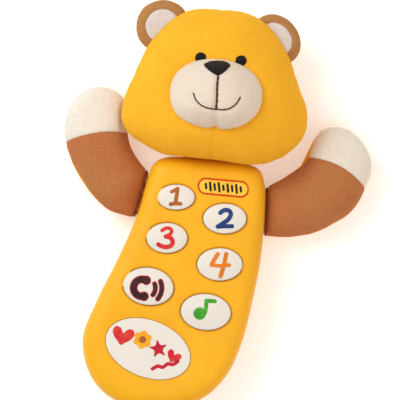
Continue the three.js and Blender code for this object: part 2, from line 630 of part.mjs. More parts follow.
for (const arm of ARMS) {
  const skin = cut(armSolid(arm, 0), armSolid(arm, ARM.skin));
  const front = skin.intersect(solid(block(0, 0, ARM.z + halfGap + 30, farOut, farOut, 60)));
  const back = skin.intersect(solid(block(0, 0, ARM.z - halfGap - 30, farOut, farOut, 60)));
  const paw = (shift) => solid(block(0, 50 + shift, ARM.z, 100, 100, 60))
    .rotate([0, 0, arm.seamTurn]).translate([...arm.seam, 0]);
  add(`arm_${arm.name}_sleeve`, geometryOf(cut(front, paw(-halfGap))), 'brownPlush');
  add(`arm_${arm.name}_paw`, geometryOf(front.intersect(paw(halfGap))), 'creamPlush');
  add(`arm_${arm.name}_back_panel`, geometryOf(back), 'yellowPlush');
  add(`arm_${arm.name}_stuffing`, geometryOf(armSolid(arm, ARM.skin + GAP)), 'stuffing');
  add(`arm_${arm.name}_tab`, geometryOf(armTab(arm)), 'yellowPlush');
}

export default phone;
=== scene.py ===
"""Plush bear toy phone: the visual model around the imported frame. Sizes in mm unless named _m."""
import math
import random

import bmesh
import bpy
import numpy as np
from mathutils import Matrix, Vector, noise
from mathutils.bvhtree import BVHTree
from mathutils.geometry import delaunay_2d_cdt


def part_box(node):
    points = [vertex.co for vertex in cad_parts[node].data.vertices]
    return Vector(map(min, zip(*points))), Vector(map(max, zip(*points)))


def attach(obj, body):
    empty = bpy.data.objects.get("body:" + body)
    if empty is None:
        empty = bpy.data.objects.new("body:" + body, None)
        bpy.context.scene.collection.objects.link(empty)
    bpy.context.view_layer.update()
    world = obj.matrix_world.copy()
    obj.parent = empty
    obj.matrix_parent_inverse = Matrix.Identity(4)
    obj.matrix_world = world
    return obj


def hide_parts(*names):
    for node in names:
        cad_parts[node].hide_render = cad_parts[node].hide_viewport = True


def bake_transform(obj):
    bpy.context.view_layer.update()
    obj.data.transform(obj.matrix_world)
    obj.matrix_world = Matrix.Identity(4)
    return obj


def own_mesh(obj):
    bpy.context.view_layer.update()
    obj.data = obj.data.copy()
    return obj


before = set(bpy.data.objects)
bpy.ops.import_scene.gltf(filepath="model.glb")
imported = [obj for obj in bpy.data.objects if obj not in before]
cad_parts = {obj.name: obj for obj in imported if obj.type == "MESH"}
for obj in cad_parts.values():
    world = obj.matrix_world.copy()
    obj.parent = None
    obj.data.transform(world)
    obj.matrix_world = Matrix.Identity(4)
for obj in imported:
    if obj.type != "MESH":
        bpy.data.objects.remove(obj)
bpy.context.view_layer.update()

MM = 0.001


def centre_mm(node):
    """Middle of a CAD node's box, in mm."""
    low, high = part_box(node)
    return (low + high) / 2 / MM


def centre_xy(node):
    """The x and y of that middle."""
    middle = centre_mm(node)
    return middle.x, middle.y


def box_mm(node):
    """Lowest and highest corner of a CAD node's box, in mm."""
    low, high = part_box(node)
    return low / MM, high / MM


# ---------------------------------------------------------------- driving sizes

CASE_TOP_Z = 30.0
PARTING_Z = 15.0
SEAM_GAP = 0.25
STEP_HEIGHT = 1.6         # the halves lap over each other this far above the parting line
CASE_FILLET = 8.5
WALL = 2.0
RIM_ROUND = 0.7          # small round on the edge of each button hole
SEAT_DEPTH = 1.0         # a button's hole narrows this far below the front
SEAT_STEP = 0.3
BUTTON_GAP = 0.45
BUTTON_RISE = 2.3

# Closed outline of the case, anticlockwise from the foot; the frame's own outline.
CASE_OUTLINE = [
    (-12, -63), (9, -58.5), (22.5, -46.5), (30.8, -28.5), (36, -8), (39.9, 12), (41.9, 34),
    (42, 49), (39.4, 57), (32, 60.3), (12, 62), (-6, 63.6), (-13, 61), (-16.3, 54),
    (-22, 34.5), (-32, 12), (-42, -8), (-49.3, -28), (-44.6, -47.5), (-32, -59),
]

# Half width, half height and tilt of each oval; the centres come from the frame.
BUTTONS = {
    "1": (9.3, 6.3, 0), "2": (10.8, 7.5, 0), "3": (10.2, 7.5, 0), "4": (11.3, 8.1, 0),
    "call": (12.6, 9.3, -8), "music": (12.5, 9.0, -5),
}
LABEL = (22.0, 14.2, -21)
BADGE_ENDS = ((12.5, 48.95), (29.9, 47.35))    # middles of the badge's round ends
BADGE_RADIUS = 3.9

rng = random.Random(7)

# ---------------------------------------------------------------- node helpers


def new_material(name, base, roughness, **sockets):
    """Principled material with constant sockets; returns it with its tree and shader."""
    material = bpy.data.materials.new(name)
    material.use_nodes = True
    tree = material.node_tree
    shader = tree.nodes["Principled BSDF"]
    shader.inputs["Base Color"].default_value = (*base, 1)
    shader.inputs["Roughness"].default_value = roughness
    for key, value in sockets.items():
        shader.inputs[key.replace("_", " ")].default_value = value
    material.diffuse_color = (*base, 1)
    return material, tree, shader


def linear(hex_colour):
    """sRGB hex to linear RGB."""
    channels = [int(hex_colour[i:i + 2], 16) / 255 for i in (1, 3, 5)]
    return tuple(c / 12.92 if c <= 0.04045 else ((c + 0.055) / 1.055) ** 2.4 for c in channels)


def add_node(tree, kind, **settings):
    node = tree.nodes.new(kind)
    for key, value in settings.items():
        if key in node.inputs:
            node.inputs[key].default_value = value
        else:
            setattr(node, key, value)
    return node


def object_coords(tree, scale=(1, 1, 1)):
    """Object coordinates in metres, stretched by scale."""
    coords = add_node(tree, "ShaderNodeTexCoord")
    mapping = add_node(tree, "ShaderNodeMapping")
    mapping.inputs["Scale"].default_value = scale
    tree.links.new(coords.outputs["Object"], mapping.inputs["Vector"])
    return mapping.outputs["Vector"]


def noise_value(tree, vector, scale, detail=3.0, rough=0.55):
    """Noise at the given number of bumps per metre."""
    node = add_node(tree, "ShaderNodeTexNoise", Scale=scale, Detail=detail, Roughness=rough)
    tree.links.new(vector, node.inputs["Vector"])
    return node.outputs["Fac"]


def ramp(tree, value, stops):
    """Colour ramp over a value, with stops of (position, colour)."""
    node = add_node(tree, "ShaderNodeValToRGB")
    elements = node.color_ramp.elements
    while len(elements) < len(stops):
        elements.new(0.5)
    for element, (position, colour) in zip(elements, stops):
        element.position = position
        element.color = (*colour, 1)
    tree.links.new(value, node.inputs["Fac"])
    return node.outputs["Color"]


def shade(colour, factor):
    """A lighter or darker version of a linear colour."""
    return tuple(min(1.0, c * factor) for c in colour)


def bump_chain(tree, shader, layers):
    """Stacks bump layers of (height value, strength, distance in metres)."""
    normal = None
    for height, strength, distance in layers:
        node = add_node(tree, "ShaderNodeBump", Strength=strength, Distance=distance)
        tree.links.new(height, node.inputs["Height"])
        if normal is not None:
            tree.links.new(normal, node.inputs["Normal"])
        normal = node.outputs["Normal"]
    tree.links.new(normal, shader.inputs["Normal"])

# ---------------------------------------------------------------- materials


def moulded_plastic(name, hex_colour, roughness=0.42, grain=2600, grain_depth=0.05, mottle=0.05):
    """Satin moulded plastic: faint colour drift, uneven gloss and a fine spark-eroded grain."""
    base = linear(hex_colour)
    material, tree, shader = new_material(
        name, base, roughness, IOR=1.45, Specular_IOR_Level=0.25)
    coords = object_coords(tree)
    drift = noise_value(tree, coords, 28, 4)
    tree.links.new(
        ramp(tree, drift, [(0.3, shade(base, 1 - mottle)), (0.7, shade(base, 1 + mottle))]),
        shader.inputs["Base Color"])
    scuffs = noise_value(tree, coords, 190, 6, 0.7)
    gloss = add_node(tree, "ShaderNodeMapRange")
    gloss.inputs["To Min"].default_value = roughness - 0.06
    gloss.inputs["To Max"].default_value = roughness + 0.1
    tree.links.new(scuffs, gloss.inputs["Value"])
    tree.links.new(gloss.outputs["Result"], shader.inputs["Roughness"])
    bump_chain(tree, shader, [
        (noise_value(tree, coords, grain, 2), 0.22, grain_depth * MM),
        (noise_value(tree, coords, 55, 2), 0.15, 0.2 * MM),
    ])
    return material


def plush(name, hex_colour, shadow_hex, pile=2200, lay=480, depth=0.3, sheen=0.35,
          brushed=((0.95, 0.93, 0.90), (1.0, 1.0, 1.0))):
    """Short velour pile: painted shade between the fine tips and a faint painted highlight on them, with
    soft brushed patches of tone, on the brown partly painted sheen.
    """
    base, root = linear(hex_colour), linear(shadow_hex)
    # painted_pile_shade mixes the shadow colour in: painted shade down between the pile tips.
    painted_pile_shade = tuple(0.6 * b + 0.4 * r for b, r in zip(base, root))
    material, tree, shader = new_material(
        name, base, 0.95, Sheen_Weight=sheen, Sheen_Roughness=0.5, Specular_IOR_Level=0.12)
    shader.inputs["Sheen Tint"].default_value = (*shade(base, 1.2), 1)
    coords = object_coords(tree)
    tips = noise_value(tree, coords, pile, 4, 0.7)
    clumps = noise_value(tree, coords, lay, 5, 0.6)
    patches = noise_value(tree, coords, 50, 3, 0.55)
    half = add_node(tree, "ShaderNodeMath", operation="MULTIPLY")
    half.inputs[1].default_value = 0.5
    tree.links.new(clumps, half.inputs[0])
    mixed = add_node(tree, "ShaderNodeMath", operation="MULTIPLY_ADD")
    mixed.inputs[1].default_value = 0.5
    tree.links.new(tips, mixed.inputs[0])
    tree.links.new(half.outputs[0], mixed.inputs[2])
    # Pile ramp: painted shade between the tips, the base colour, a faint painted highlight on the tips.
    pile_colour = ramp(tree, mixed.outputs[0], [(0.34, painted_pile_shade), (0.5, base), (0.66, shade(base, 1.07))])
    # Soft patches of tone; on the brown velour their redder and tan patches also stand in for painted
    # sheen.
    drift = ramp(tree, patches, [(0.3, brushed[0]), (0.65, brushed[1])])
    tint = add_node(tree, "ShaderNodeMix", data_type="RGBA", blend_type="MULTIPLY")
    tint.inputs[0].default_value = 1.0
    tree.links.new(pile_colour, tint.inputs[6])
    tree.links.new(drift, tint.inputs[7])
    tree.links.new(tint.outputs[2], shader.inputs["Base Color"])
    bump_chain(tree, shader, [
        (clumps, 0.4, depth * MM),
        (tips, 0.6, depth * 0.6 * MM),
    ])
    return material


def satin_thread(name, hex_colour, pitch=3200):
    """Twisted embroidery thread: fine slanting ply lines with painted shade in their grooves and painted
    highlight on their crests, and a soft shine.
    """
    base = linear(hex_colour)
    material, tree, shader = new_material(
        name, base, 0.6, Specular_IOR_Level=0.3)
    coords = object_coords(tree, (1, 0.6, 1))
    wave = add_node(tree, "ShaderNodeTexWave", Scale=pitch, Distortion=2.0, Detail=2.0)
    tree.links.new(coords, wave.inputs["Vector"])
    # Ply ramp: painted shade in the grooves, painted highlight on the crests.
    tree.links.new(
        ramp(tree, wave.outputs["Fac"], [(0.1, shade(base, 0.6)), (0.8, shade(base, 1.5))]),
        shader.inputs["Base Color"])
    bump_chain(tree, shader, [(wave.outputs["Fac"], 0.5, 0.08 * MM)])
    return material


def printed_ink(name, hex_colour, streak_hex=None):
    """Pad-printed ink: slightly uneven cover, and a second tone where it was laid on by hand."""
    base = linear(hex_colour)
    second = linear(streak_hex) if streak_hex else shade(base, 0.85)
    material, tree, shader = new_material(name, base, 0.45, Specular_IOR_Level=0.25)
    coords = object_coords(tree)
    tone = noise_value(tree, coords, 240, 3)
    tree.links.new(
        ramp(tree, tone, [(0.38, second), (0.6, base)]), shader.inputs["Base Color"])
    bump_chain(tree, shader, [(noise_value(tree, coords, 3000, 2), 0.2, 0.02 * MM)])
    return material


def worn_metal(name, hex_colour, roughness=0.35, brushed=1800):
    """Plated steel with fine draw lines and dull patches."""
    base = linear(hex_colour)
    material, tree, shader = new_material(name, base, roughness, Metallic=1.0)
    coords = object_coords(tree, (1, 8, 1))
    lines = noise_value(tree, coords, brushed, 3)
    spots = noise_value(tree, object_coords(tree), 400, 5, 0.7)
    tree.links.new(ramp(tree, spots, [(0.35, shade(base, 0.75)), (0.6, base)]),
                   shader.inputs["Base Color"])
    bump_chain(tree, shader, [(lines, 0.25, 0.03 * MM)])
    return material


YELLOW = moulded_plastic("case_yellow", "#f0ad1a")
DOOR_YELLOW = moulded_plastic("door_yellow", "#f3ac1a", roughness=0.4)
CREAM = moulded_plastic("button_cream", "#e2dbd1", roughness=0.36, mottle=0.02)
INLAY_WHITE = moulded_plastic("inlay_white", "#e4ddd3", roughness=0.42, mottle=0.02)
RED_FILM = moulded_plastic("badge_red", "#dc3018", roughness=0.35)
BLACK = moulded_plastic("black_plastic", "#232327", roughness=0.5)
YELLOW_PLUSH = plush("yellow_velour", "#f1b02b", "#e19018")
# Brown velour: its red and tan patches are partly uneven tone and partly painted sheen.
BROWN_PLUSH = plush("brown_velour", "#b57045", "#8c4c2b", sheen=0.5,
                    brushed=((0.98, 0.86, 0.86), (0.99, 1.12, 1.04)))
EAR_PLUSH = plush("ear_velour", "#ae7b49", "#8f5f36")
CREAM_PLUSH = plush("cream_velour", "#e7ddd0", "#cdbfae", sheen=0.25)
MUZZLE_PLUSH = plush("muzzle_velour", "#dfcfbd", "#c6b19a", sheen=0.25)
LINING_PLUSH = plush("lining_velour", "#d6cbc5", "#bcaea6", pile=1500, lay=350)
DARK_THREAD = satin_thread("dark_thread", "#120b09")
BROWN_THREAD = satin_thread("brown_thread", "#4a2618")
# Dark thread for the arm roots: painted shadow in their crease.
ROOT_SHADOW_THREAD = satin_thread("root_shadow_thread", "#7d3c26")
STEEL = worn_metal("plated_steel", "#c3c5c8")
INKS = {
    "1": printed_ink("ink_rust", "#bd5f26", "#9a5d18"),
    "2": printed_ink("ink_navy", "#18336f", "#20407f"),
    "3": printed_ink("ink_red", "#cf1226", "#d6402c"),
    "4": printed_ink("ink_orange", "#e67a14", "#d06d12"),
    "call": printed_ink("ink_maroon", "#2c1016", "#431a24"),
    "music": printed_ink("ink_green", "#4bab28", "#348f20"),
    "outline": printed_ink("ink_crimson", "#c3142a"),
    "gold": printed_ink("ink_gold", "#f3ae1f", "#eba018"),
    "badge": printed_ink("ink_badge_gold", "#ffc63c", "#f7b92c"),
    "black": printed_ink("ink_black", "#120e0c"),
}

# ---------------------------------------------------------------- mesh helpers


def make_object(name, mesh_or_bmesh, *materials, smooth=True):
    """Links a mesh into the scene as a named object with its materials."""
    if isinstance(mesh_or_bmesh, bmesh.types.BMesh):
        mesh = bpy.data.meshes.new(name)
        mesh_or_bmesh.to_mesh(mesh)
        mesh_or_bmesh.free()
    else:
        mesh = mesh_or_bmesh
    obj = bpy.data.objects.new(name, mesh)
    bpy.context.scene.collection.objects.link(obj)
    for material in materials:
        mesh.materials.append(material)
    if smooth:
        for polygon in mesh.polygons:
            polygon.use_smooth = True
    return obj


def crisp(obj, degrees=38):
    """Keeps the edges of a moulded part sharp where its faces turn by more than this."""
    obj.data.set_sharp_from_angle(angle=math.radians(degrees))
    return obj


def mesh_from(name, points, faces):
    """Mesh from points in mm."""
    mesh = bpy.data.meshes.new(name)
    mesh.from_pydata([tuple(c * MM for c in p) for p in points], [], faces)
    mesh.update()
    return mesh


def bridge(faces, first, second, count, flip=False):
    """Quads between two closed rings that start at the given indices."""
    for i in range(count):
        j = (i + 1) % count
        quad = (first + i, first + j, second + j, second + i)
        faces.append(quad[::-1] if flip else quad)


def oval_ring(x, y, half_w, half_h, tilt, grow=0.0, sides=72):
    """Anticlockwise ring of an oval tilted by so many degrees, grown by grow mm."""
    tilt = math.radians(tilt)
    ring = []
    for i in range(sides):
        t = 2 * math.pi * i / sides
        u, v = (half_w + grow) * math.cos(t), (half_h + grow) * math.sin(t)
        ring.append((x + u * math.cos(tilt) - v * math.sin(tilt),
                     y + u * math.sin(tilt) + v * math.cos(tilt)))
    return ring


def smooth_closed(points, count):
    """Points evenly spaced along a closed centripetal Catmull-Rom curve."""
    dense = []
    total = len(points)
    for i in range(total):
        p = [np.array(points[(i + k) % total], float) for k in (-1, 0, 1, 2)]
        knots = [0.0]
        for a, b in zip(p, p[1:]):
            knots.append(knots[-1] + max(np.linalg.norm(b - a), 1e-6) ** 0.5)
        t0, t1, t2, t3 = knots
        for step in range(24):
            t = t1 + (t2 - t1) * step / 24
            a1 = (t1 - t) / (t1 - t0) * p[0] + (t - t0) / (t1 - t0) * p[1]
            a2 = (t2 - t) / (t2 - t1) * p[1] + (t - t1) / (t2 - t1) * p[2]
            a3 = (t3 - t) / (t3 - t2) * p[2] + (t - t2) / (t3 - t2) * p[3]
            b1 = (t2 - t) / (t2 - t0) * a1 + (t - t0) / (t2 - t0) * a2
            b2 = (t3 - t) / (t3 - t1) * a2 + (t - t1) / (t3 - t1) * a3
            dense.append((t2 - t) / (t2 - t1) * b1 + (t - t1) / (t2 - t1) * b2)
    dense = np.array(dense)
    lengths = np.linalg.norm(np.roll(dense, -1, 0) - dense, axis=1)
    along = np.concatenate([[0], np.cumsum(lengths)])
    closed = np.vstack([dense, dense[:1]])
    wanted = np.linspace(0, along[-1], count, endpoint=False)
    return np.stack([np.interp(wanted, along, closed[:, k]) for k in (0, 1)], 1)

# ---------------------------------------------------------------- case

OUTLINE_COUNT = 260
outline = smooth_closed(CASE_OUTLINE, OUTLINE_COUNT)


def inset_ring(inset):
    """The outline moved inwards; its corners soften with depth, so that they never fold."""
    spacing = np.linalg.norm(outline[1] - outline[0])
    reach = np.fft.fftfreq(OUTLINE_COUNT, spacing)
    soften = np.exp(-2 * (math.pi * reach * 0.34 * max(inset, 0)) ** 2)[:, None]
    soft = np.fft.ifft(np.fft.fft(outline, axis=0) * soften, axis=0).real
    along = np.roll(soft, -1, 0) - np.roll(soft, 1, 0)
    along /= np.linalg.norm(along, axis=1, keepdims=True)
    return [tuple(p) for p in soft + np.stack([-along[:, 1], along[:, 0]], 1) * inset]


def loop_offset(loop, distance):
    """A dense anticlockwise loop moved outwards by distance."""
    pts = np.array(loop)
    along = np.roll(pts, -1, 0) - np.roll(pts, 1, 0)
    along /= np.maximum(np.linalg.norm(along, axis=1, keepdims=True), 1e-9)
    return [tuple(p) for p in pts + np.stack([along[:, 1], -along[:, 0]], 1) * distance]


def circle(x, y, radius, sides=32):
    return oval_ring(x, y, radius, radius, 0, sides=sides)


def rounded_box(x0, y0, x1, y1, radius, steps=6):
    """Anticlockwise rounded rectangle."""
    loop = []
    for cx, cy, start in ((x1 - radius, y0 + radius, -90), (x1 - radius, y1 - radius, 0),
                          (x0 + radius, y1 - radius, 90), (x0 + radius, y0 + radius, 180)):
        for i in range(steps + 1):
            t = math.radians(start + 90 * i / steps)
            loop.append((cx + radius * math.cos(t), cy + radius * math.sin(t)))
    return resample(loop)


def resample(loop, spacing=0.8):
    """Closed loop with points about spacing apart, corners kept."""
    result = []
    for a, b in zip(loop, loop[1:] + loop[:1]):
        run = math.dist(a, b)
        if run < 1e-6:
            continue
        pieces = max(1, round(run / spacing))
        for i in range(pieces):
            result.append((a[0] + (b[0] - a[0]) * i / pieces, a[1] + (b[1] - a[1]) * i / pieces))
    return result


def face_with_holes(points, faces, outer, holes, z, up=True):
    """Flat face at height z between existing rings: outer and holes are (first index, loop)."""
    loops = [outer, *holes]
    flat, back, edges = [], [], []
    for first, loop in loops:
        start = len(flat)
        for i, p in enumerate(loop):
            flat.append(Vector(p))
            back.append(first + i)
            edges.append((start + i, start + (i + 1) % len(loop)))
    loop_faces, start = [], 0
    for _, loop in loops:
        loop_faces.append(list(range(start, start + len(loop))))
        start += len(loop)
    verts, _, tris, origin, _, face_origin = delaunay_2d_cdt(
        flat, edges, loop_faces, 0, 1e-7)
    index = []
    for i, v in enumerate(verts):
        if origin[i]:
            index.append(back[origin[i][0]])
        else:
            index.append(len(points))
            points.append((v.x, v.y, z))
    for tri, sources in zip(tris, face_origin):
        if sources == [0]:
            ids = [index[k] for k in tri]
            faces.append(tuple(ids if up else ids[::-1]))


def add_ring(points, ring, z):
    """Adds a flat ring at height z; returns the index of its first point."""
    first = len(points)
    points.extend((p[0], p[1], z) for p in ring)
    return first


def fillet_profile(fillet, inset, face_z, side, exponent=2.3, steps=9):
    """(inset, z) points from the flat face down round the edge; side is +1 front, -1 back."""
    profile = []
    for i in range(steps + 1):
        t = math.radians(90 * (1 - i / steps))
        profile.append((inset + fillet * (1 - math.cos(t) ** (2 / exponent)),
                        face_z - side * fillet * (1 - math.sin(t) ** (2 / exponent))))
    return profile


def half_shell(name, side, holes, pockets, material):
    """One half of the case. holes go right through the wall; pockets are (loop, depth)."""
    face_z = CASE_TOP_Z if side > 0 else 0.0
    inner_z = face_z - side * WALL
    parting = PARTING_Z + side * SEAM_GAP / 2
    step_z = PARTING_Z + STEP_HEIGHT
    tongue = [(0.35, parting), (0.85, parting), (0.85, step_z + 0.2), (WALL, step_z + 0.2)]
    if side < 0:
        tongue = [(0.35, parting), (1.05, parting), (1.05, step_z - 0.1), (WALL, step_z - 0.1)]
    profile = fillet_profile(CASE_FILLET, 0.0, face_z, side)
    profile += [(0.0, parting + side * 0.35), (0.1, parting + side * 0.1), *tongue]
    profile += fillet_profile(CASE_FILLET - WALL, WALL, inner_z, side)[::-1]
    points, faces = [], []
    rings = [add_ring(points, inset_ring(inset), z) for inset, z in profile]
    for a, b in zip(rings, rings[1:]):
        bridge(faces, b, a, OUTLINE_COUNT, flip=side < 0)
    outer_holes, inner_holes = [], []
    for loop in holes:
        wide = loop_offset(loop, RIM_ROUND)
        levels = [(RIM_ROUND, 0.0), (RIM_ROUND * 0.5, RIM_ROUND * 0.13),
                  (RIM_ROUND * 0.13, RIM_ROUND * 0.5), (0.0, RIM_ROUND)]
        narrow = SEAT_STEP if side > 0 else 0.0
        levels += [(0.0, SEAT_DEPTH), (-narrow, SEAT_DEPTH + 0.05), (-narrow, WALL)]
        firsts = [add_ring(points, loop_offset(loop, grow), face_z - side * down)
                  for grow, down in levels]
        for a, b in zip(firsts, firsts[1:]):
            bridge(faces, a, b, len(loop), flip=side < 0)
        outer_holes.append((firsts[0], wide))
        inner_holes.append((firsts[-1], loop_offset(loop, -narrow)))
    for loop, depth in pockets:
        wide = loop_offset(loop, 0.3)
        firsts = [add_ring(points, wide, face_z),
                  add_ring(points, loop_offset(loop, 0.08), face_z - side * 0.1),
                  add_ring(points, loop, face_z - side * 0.35),
                  add_ring(points, loop, face_z - side * depth)]
        for a, b in zip(firsts, firsts[1:]):
            bridge(faces, a, b, len(loop), flip=side < 0)
        outer_holes.append((firsts[0], wide))
        face_with_holes(points, faces, (firsts[-1], loop), [], face_z - side * depth, side > 0)
    face_with_holes(points, faces, (rings[0], inset_ring(profile[0][0])), outer_holes,
                    face_z, side > 0)
    face_with_holes(points, faces, (rings[-1], inset_ring(profile[-1][0])), inner_holes,
                    inner_z, side < 0)
    return make_object(name, mesh_from(name, points, faces), material)


def oval_loop(node, oval, grow=0.0, sides=72):
    """The ring of an oval about the middle of a CAD node."""
    return oval_ring(*centre_xy(node), *oval, grow=grow, sides=sides)


def capsule_loop(ends, radius, steps=24):
    """Anticlockwise outline of a bar with round ends."""
    (x0, y0), (x1, y1) = ends
    turn = math.atan2(y1 - y0, x1 - x0)
    loop = []
    for (x, y), start in (((x1, y1), turn - math.pi / 2), ((x0, y0), turn + math.pi / 2)):
        for i in range(steps + 1):
            t = start + math.pi * i / steps
            loop.append((x + radius * math.cos(t), y + radius * math.sin(t)))
    return resample(loop, 0.5)


def cut_away(obj, cutters, round_sides=0):
    """Boolean cut with boxes (centre, size, turn in degrees), or round cutters, in mm."""
    for centre, size, turn in cutters:
        bm = bmesh.new()
        if round_sides:
            bmesh.ops.create_cone(bm, cap_ends=True, segments=round_sides, radius1=0.5,
                                  radius2=0.5, depth=1.0)
        else:
            bmesh.ops.create_cube(bm, size=1.0)
        bmesh.ops.scale(bm, vec=Vector(size) * MM, verts=bm.verts)
        bmesh.ops.rotate(bm, matrix=Matrix.Rotation(math.radians(turn), 3, "Z"), verts=bm.verts)
        bmesh.ops.translate(bm, vec=Vector(centre) * MM, verts=bm.verts)
        cutter = make_object("cutter", bm, smooth=False)
        modifier = obj.modifiers.new("cut", "BOOLEAN")
        modifier.object = cutter
        modifier.solver = "EXACT"
        modifier.use_hole_tolerant = True
        with bpy.context.temp_override(object=obj, active_object=obj, selected_objects=[obj]):
            bpy.ops.object.modifier_apply(modifier=modifier.name)
        bpy.data.objects.remove(cutter)


# A point on the case wall at each arm's slot, and the way out of the case there.
ARM_SLOTS = {"left": ((-19.8, 44.4), (-0.963, 0.27)), "right": ((42.0, 35.8), (1.0, -0.02))}
SLOT_HALF = 9.6           # half width of the cloth inside a slot
SLOT_HALF_HEIGHT = 3.0
ARM_SLOT_SIZE = (8, 20.0, 6.6)
ARM_Z = 12.6
SLOT_CUTS = [((16.5, 63, 15), (29, 9, 9), 0)]     # the neck's slot
for (slot_x, slot_y), (out_x, out_y) in ARM_SLOTS.values():
    turn = math.degrees(math.atan2(out_y, out_x))
    SLOT_CUTS.append(((slot_x, slot_y, ARM_Z), ARM_SLOT_SIZE, turn))

# Battery door: the opening's outline with its screw tab, from the frame's door.
door_low, door_high = box_mm("battery_door")
TAB_LOW_X, TAB_HIGH_X = -18.0, -8.0
BAY_TOP_Y = -3.0
DOOR_GAP = 0.3


def door_loop(grow, corner=2.0):
    """Anticlockwise outline of the door with its tab at the top, grown by grow."""
    x0, y0 = door_low.x - grow, door_low.y - grow
    x1, y1, y2 = door_high.x + grow, BAY_TOP_Y - DOOR_GAP + grow, door_high.y + grow
    tx0, tx1 = TAB_LOW_X + DOOR_GAP - grow, TAB_HIGH_X - DOOR_GAP + grow
    corners = [(x0, y0), (x1, y0), (x1, y1), (tx1, y1), (tx1, y2), (tx0, y2), (tx0, y1), (x0, y1)]
    loop = []
    for i, c in enumerate(corners):
        before, after = corners[i - 1], corners[(i + 1) % len(corners)]
        here = Vector(c)
        # A quadratic corner: start, pulled towards the corner point, end.
        start = here + (Vector(before) - here).normalized() * corner
        end = here + (Vector(after) - here).normalized() * corner
        loop += [tuple((1 - t) ** 2 * start + 2 * t * (1 - t) * here + t * t * end)
                 for t in (0, 0.25, 0.5, 0.75, 1)]
    return resample(loop)


front_holes = [oval_loop(f"button_{key}", oval, BUTTON_GAP) for key, oval in BUTTONS.items()]
front_pockets = [(oval_loop("label_plate", LABEL, 0.25, 120), 0.8),
                 (capsule_loop(BADGE_ENDS, BADGE_RADIUS + 0.25), 0.8)]
front_shell = half_shell("front_shell_skin", 1, front_holes, front_pockets, YELLOW)

speaker = centre_mm("speaker_frame")
knob = centre_mm("switch_knob")
GRILLE_HOLE = 1.25
GRILLE_ROWS = ((4.2, 6), (8.4, 12))   # radius of each ring of holes, and how many it has
grille = [circle(speaker.x, speaker.y, GRILLE_HOLE, 20)]
for row, count in GRILLE_ROWS:
    for i in range(count):
        t = 2 * math.pi * i / count
        x, y = speaker.x + row * math.cos(t), speaker.y + row * math.sin(t)
        grille.append(circle(x, y, GRILLE_HOLE, 20))
switch_slot = rounded_box(knob.x - 2.7, knob.y - 4.6, knob.x + 2.7, knob.y + 7.6, 1.2)
back_holes = [door_loop(DOOR_GAP), switch_slot, *grille]
back_shell = half_shell("back_shell_skin", -1, back_holes, [], YELLOW)
BOSS_OUTER, BOSS_INNER = 3.2, 1.5     # radii of a screw boss
BOSS_LOW_Z, BOSS_TOP_Z = 2.9, 6.0
SCREW_WELL = (5.6, 5.6, 6.0)          # round well for a screw's head, cut about z = 2
for i in range(1, 5):
    x, y = centre_xy(f"case_screw_{i}")
    cut_away(back_shell, [((x, y, 2.0), SCREW_WELL, 0)], 40)
    points, faces = [], []
    section = [(BOSS_OUTER, BOSS_LOW_Z), (BOSS_OUTER, BOSS_TOP_Z),
               (BOSS_INNER, BOSS_TOP_Z), (BOSS_INNER, BOSS_LOW_Z)]
    firsts = [add_ring(points, circle(x, y, radius, 40), z) for radius, z in section]
    for a, b in zip(firsts, firsts[1:] + firsts[:1]):
        bridge(faces, a, b, 40)
    boss = crisp(make_object(f"screw_boss_{i}", mesh_from("boss", points, faces), YELLOW))
    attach(boss, "case")
for shell in (front_shell, back_shell):
    cut_away(shell, SLOT_CUTS)
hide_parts("front_shell")
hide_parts("back_shell")
for shell in (front_shell, back_shell):
    crisp(shell)
    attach(shell, "case")

# ---------------------------------------------------------------- soft goods helpers


SWELL_FRAMES = 20         # the cloth has come to rest by then


def swell(obj, voxel, pressure, cap, pinned=None):
    """Remeshes a closed form evenly and lets cloth pressure fill it, by at most cap mm."""
    remesh = obj.modifiers.new("remesh", "REMESH")
    remesh.mode = "VOXEL"
    remesh.voxel_size = voxel * MM
    remesh.use_smooth_shade = True
    apply_modifiers(obj)
    start = coordinates(obj)
    group = obj.vertex_groups.new(name="pin")
    for i, co in enumerate(start / MM):
        weight = pinned(co) if pinned else 0.0
        if weight > 0:
            group.add([i], weight, "REPLACE")
    cloth = obj.modifiers.new("swell", "CLOTH")
    settings = cloth.settings
    settings.quality = 6
    settings.mass = 0.05
    settings.tension_stiffness = settings.compression_stiffness = 12
    settings.shear_stiffness = 6
    settings.bending_stiffness = 0.5
    settings.use_pressure = True
    settings.uniform_pressure_force = pressure
    settings.effector_weights.gravity = 0
    settings.vertex_group_mass = "pin"
    cloth.point_cache.frame_start = 1
    cloth.point_cache.frame_end = SWELL_FRAMES
    for number in range(1, SWELL_FRAMES + 1):
        bpy.context.scene.frame_set(number)
    evaluated = obj.evaluated_get(bpy.context.evaluated_depsgraph_get())
    moved = vertex_values(evaluated.data, "co") - start
    far = np.linalg.norm(moved, axis=1, keepdims=True)
    moved *= np.minimum(1, cap * MM / np.maximum(far, 1e-9))
    obj.modifiers.remove(cloth)
    obj.vertex_groups.clear()
    set_coordinates(obj, start + moved)
    bpy.context.scene.frame_set(1)


def apply_modifiers(obj):
    """Bakes an object's modifiers into its mesh."""
    for modifier in list(obj.modifiers):
        with bpy.context.temp_override(object=obj, active_object=obj, selected_objects=[obj]):
            bpy.ops.object.modifier_apply(modifier=modifier.name)


def vertex_values(mesh, attribute):
    flat = np.empty(len(mesh.vertices) * 3)
    mesh.vertices.foreach_get(attribute, flat)
    return flat.reshape(-1, 3)


def coordinates(obj):
    """An object's vertices, in metres, one per row."""
    return vertex_values(obj.data, "co")


def set_coordinates(obj, points):
    obj.data.vertices.foreach_set("co", np.asarray(points, float).ravel())
    obj.data.update()


def edge_array(obj):
    flat = np.empty(len(obj.data.edges) * 2, int)
    obj.data.edges.foreach_get("vertices", flat)
    return flat.reshape(-1, 2)


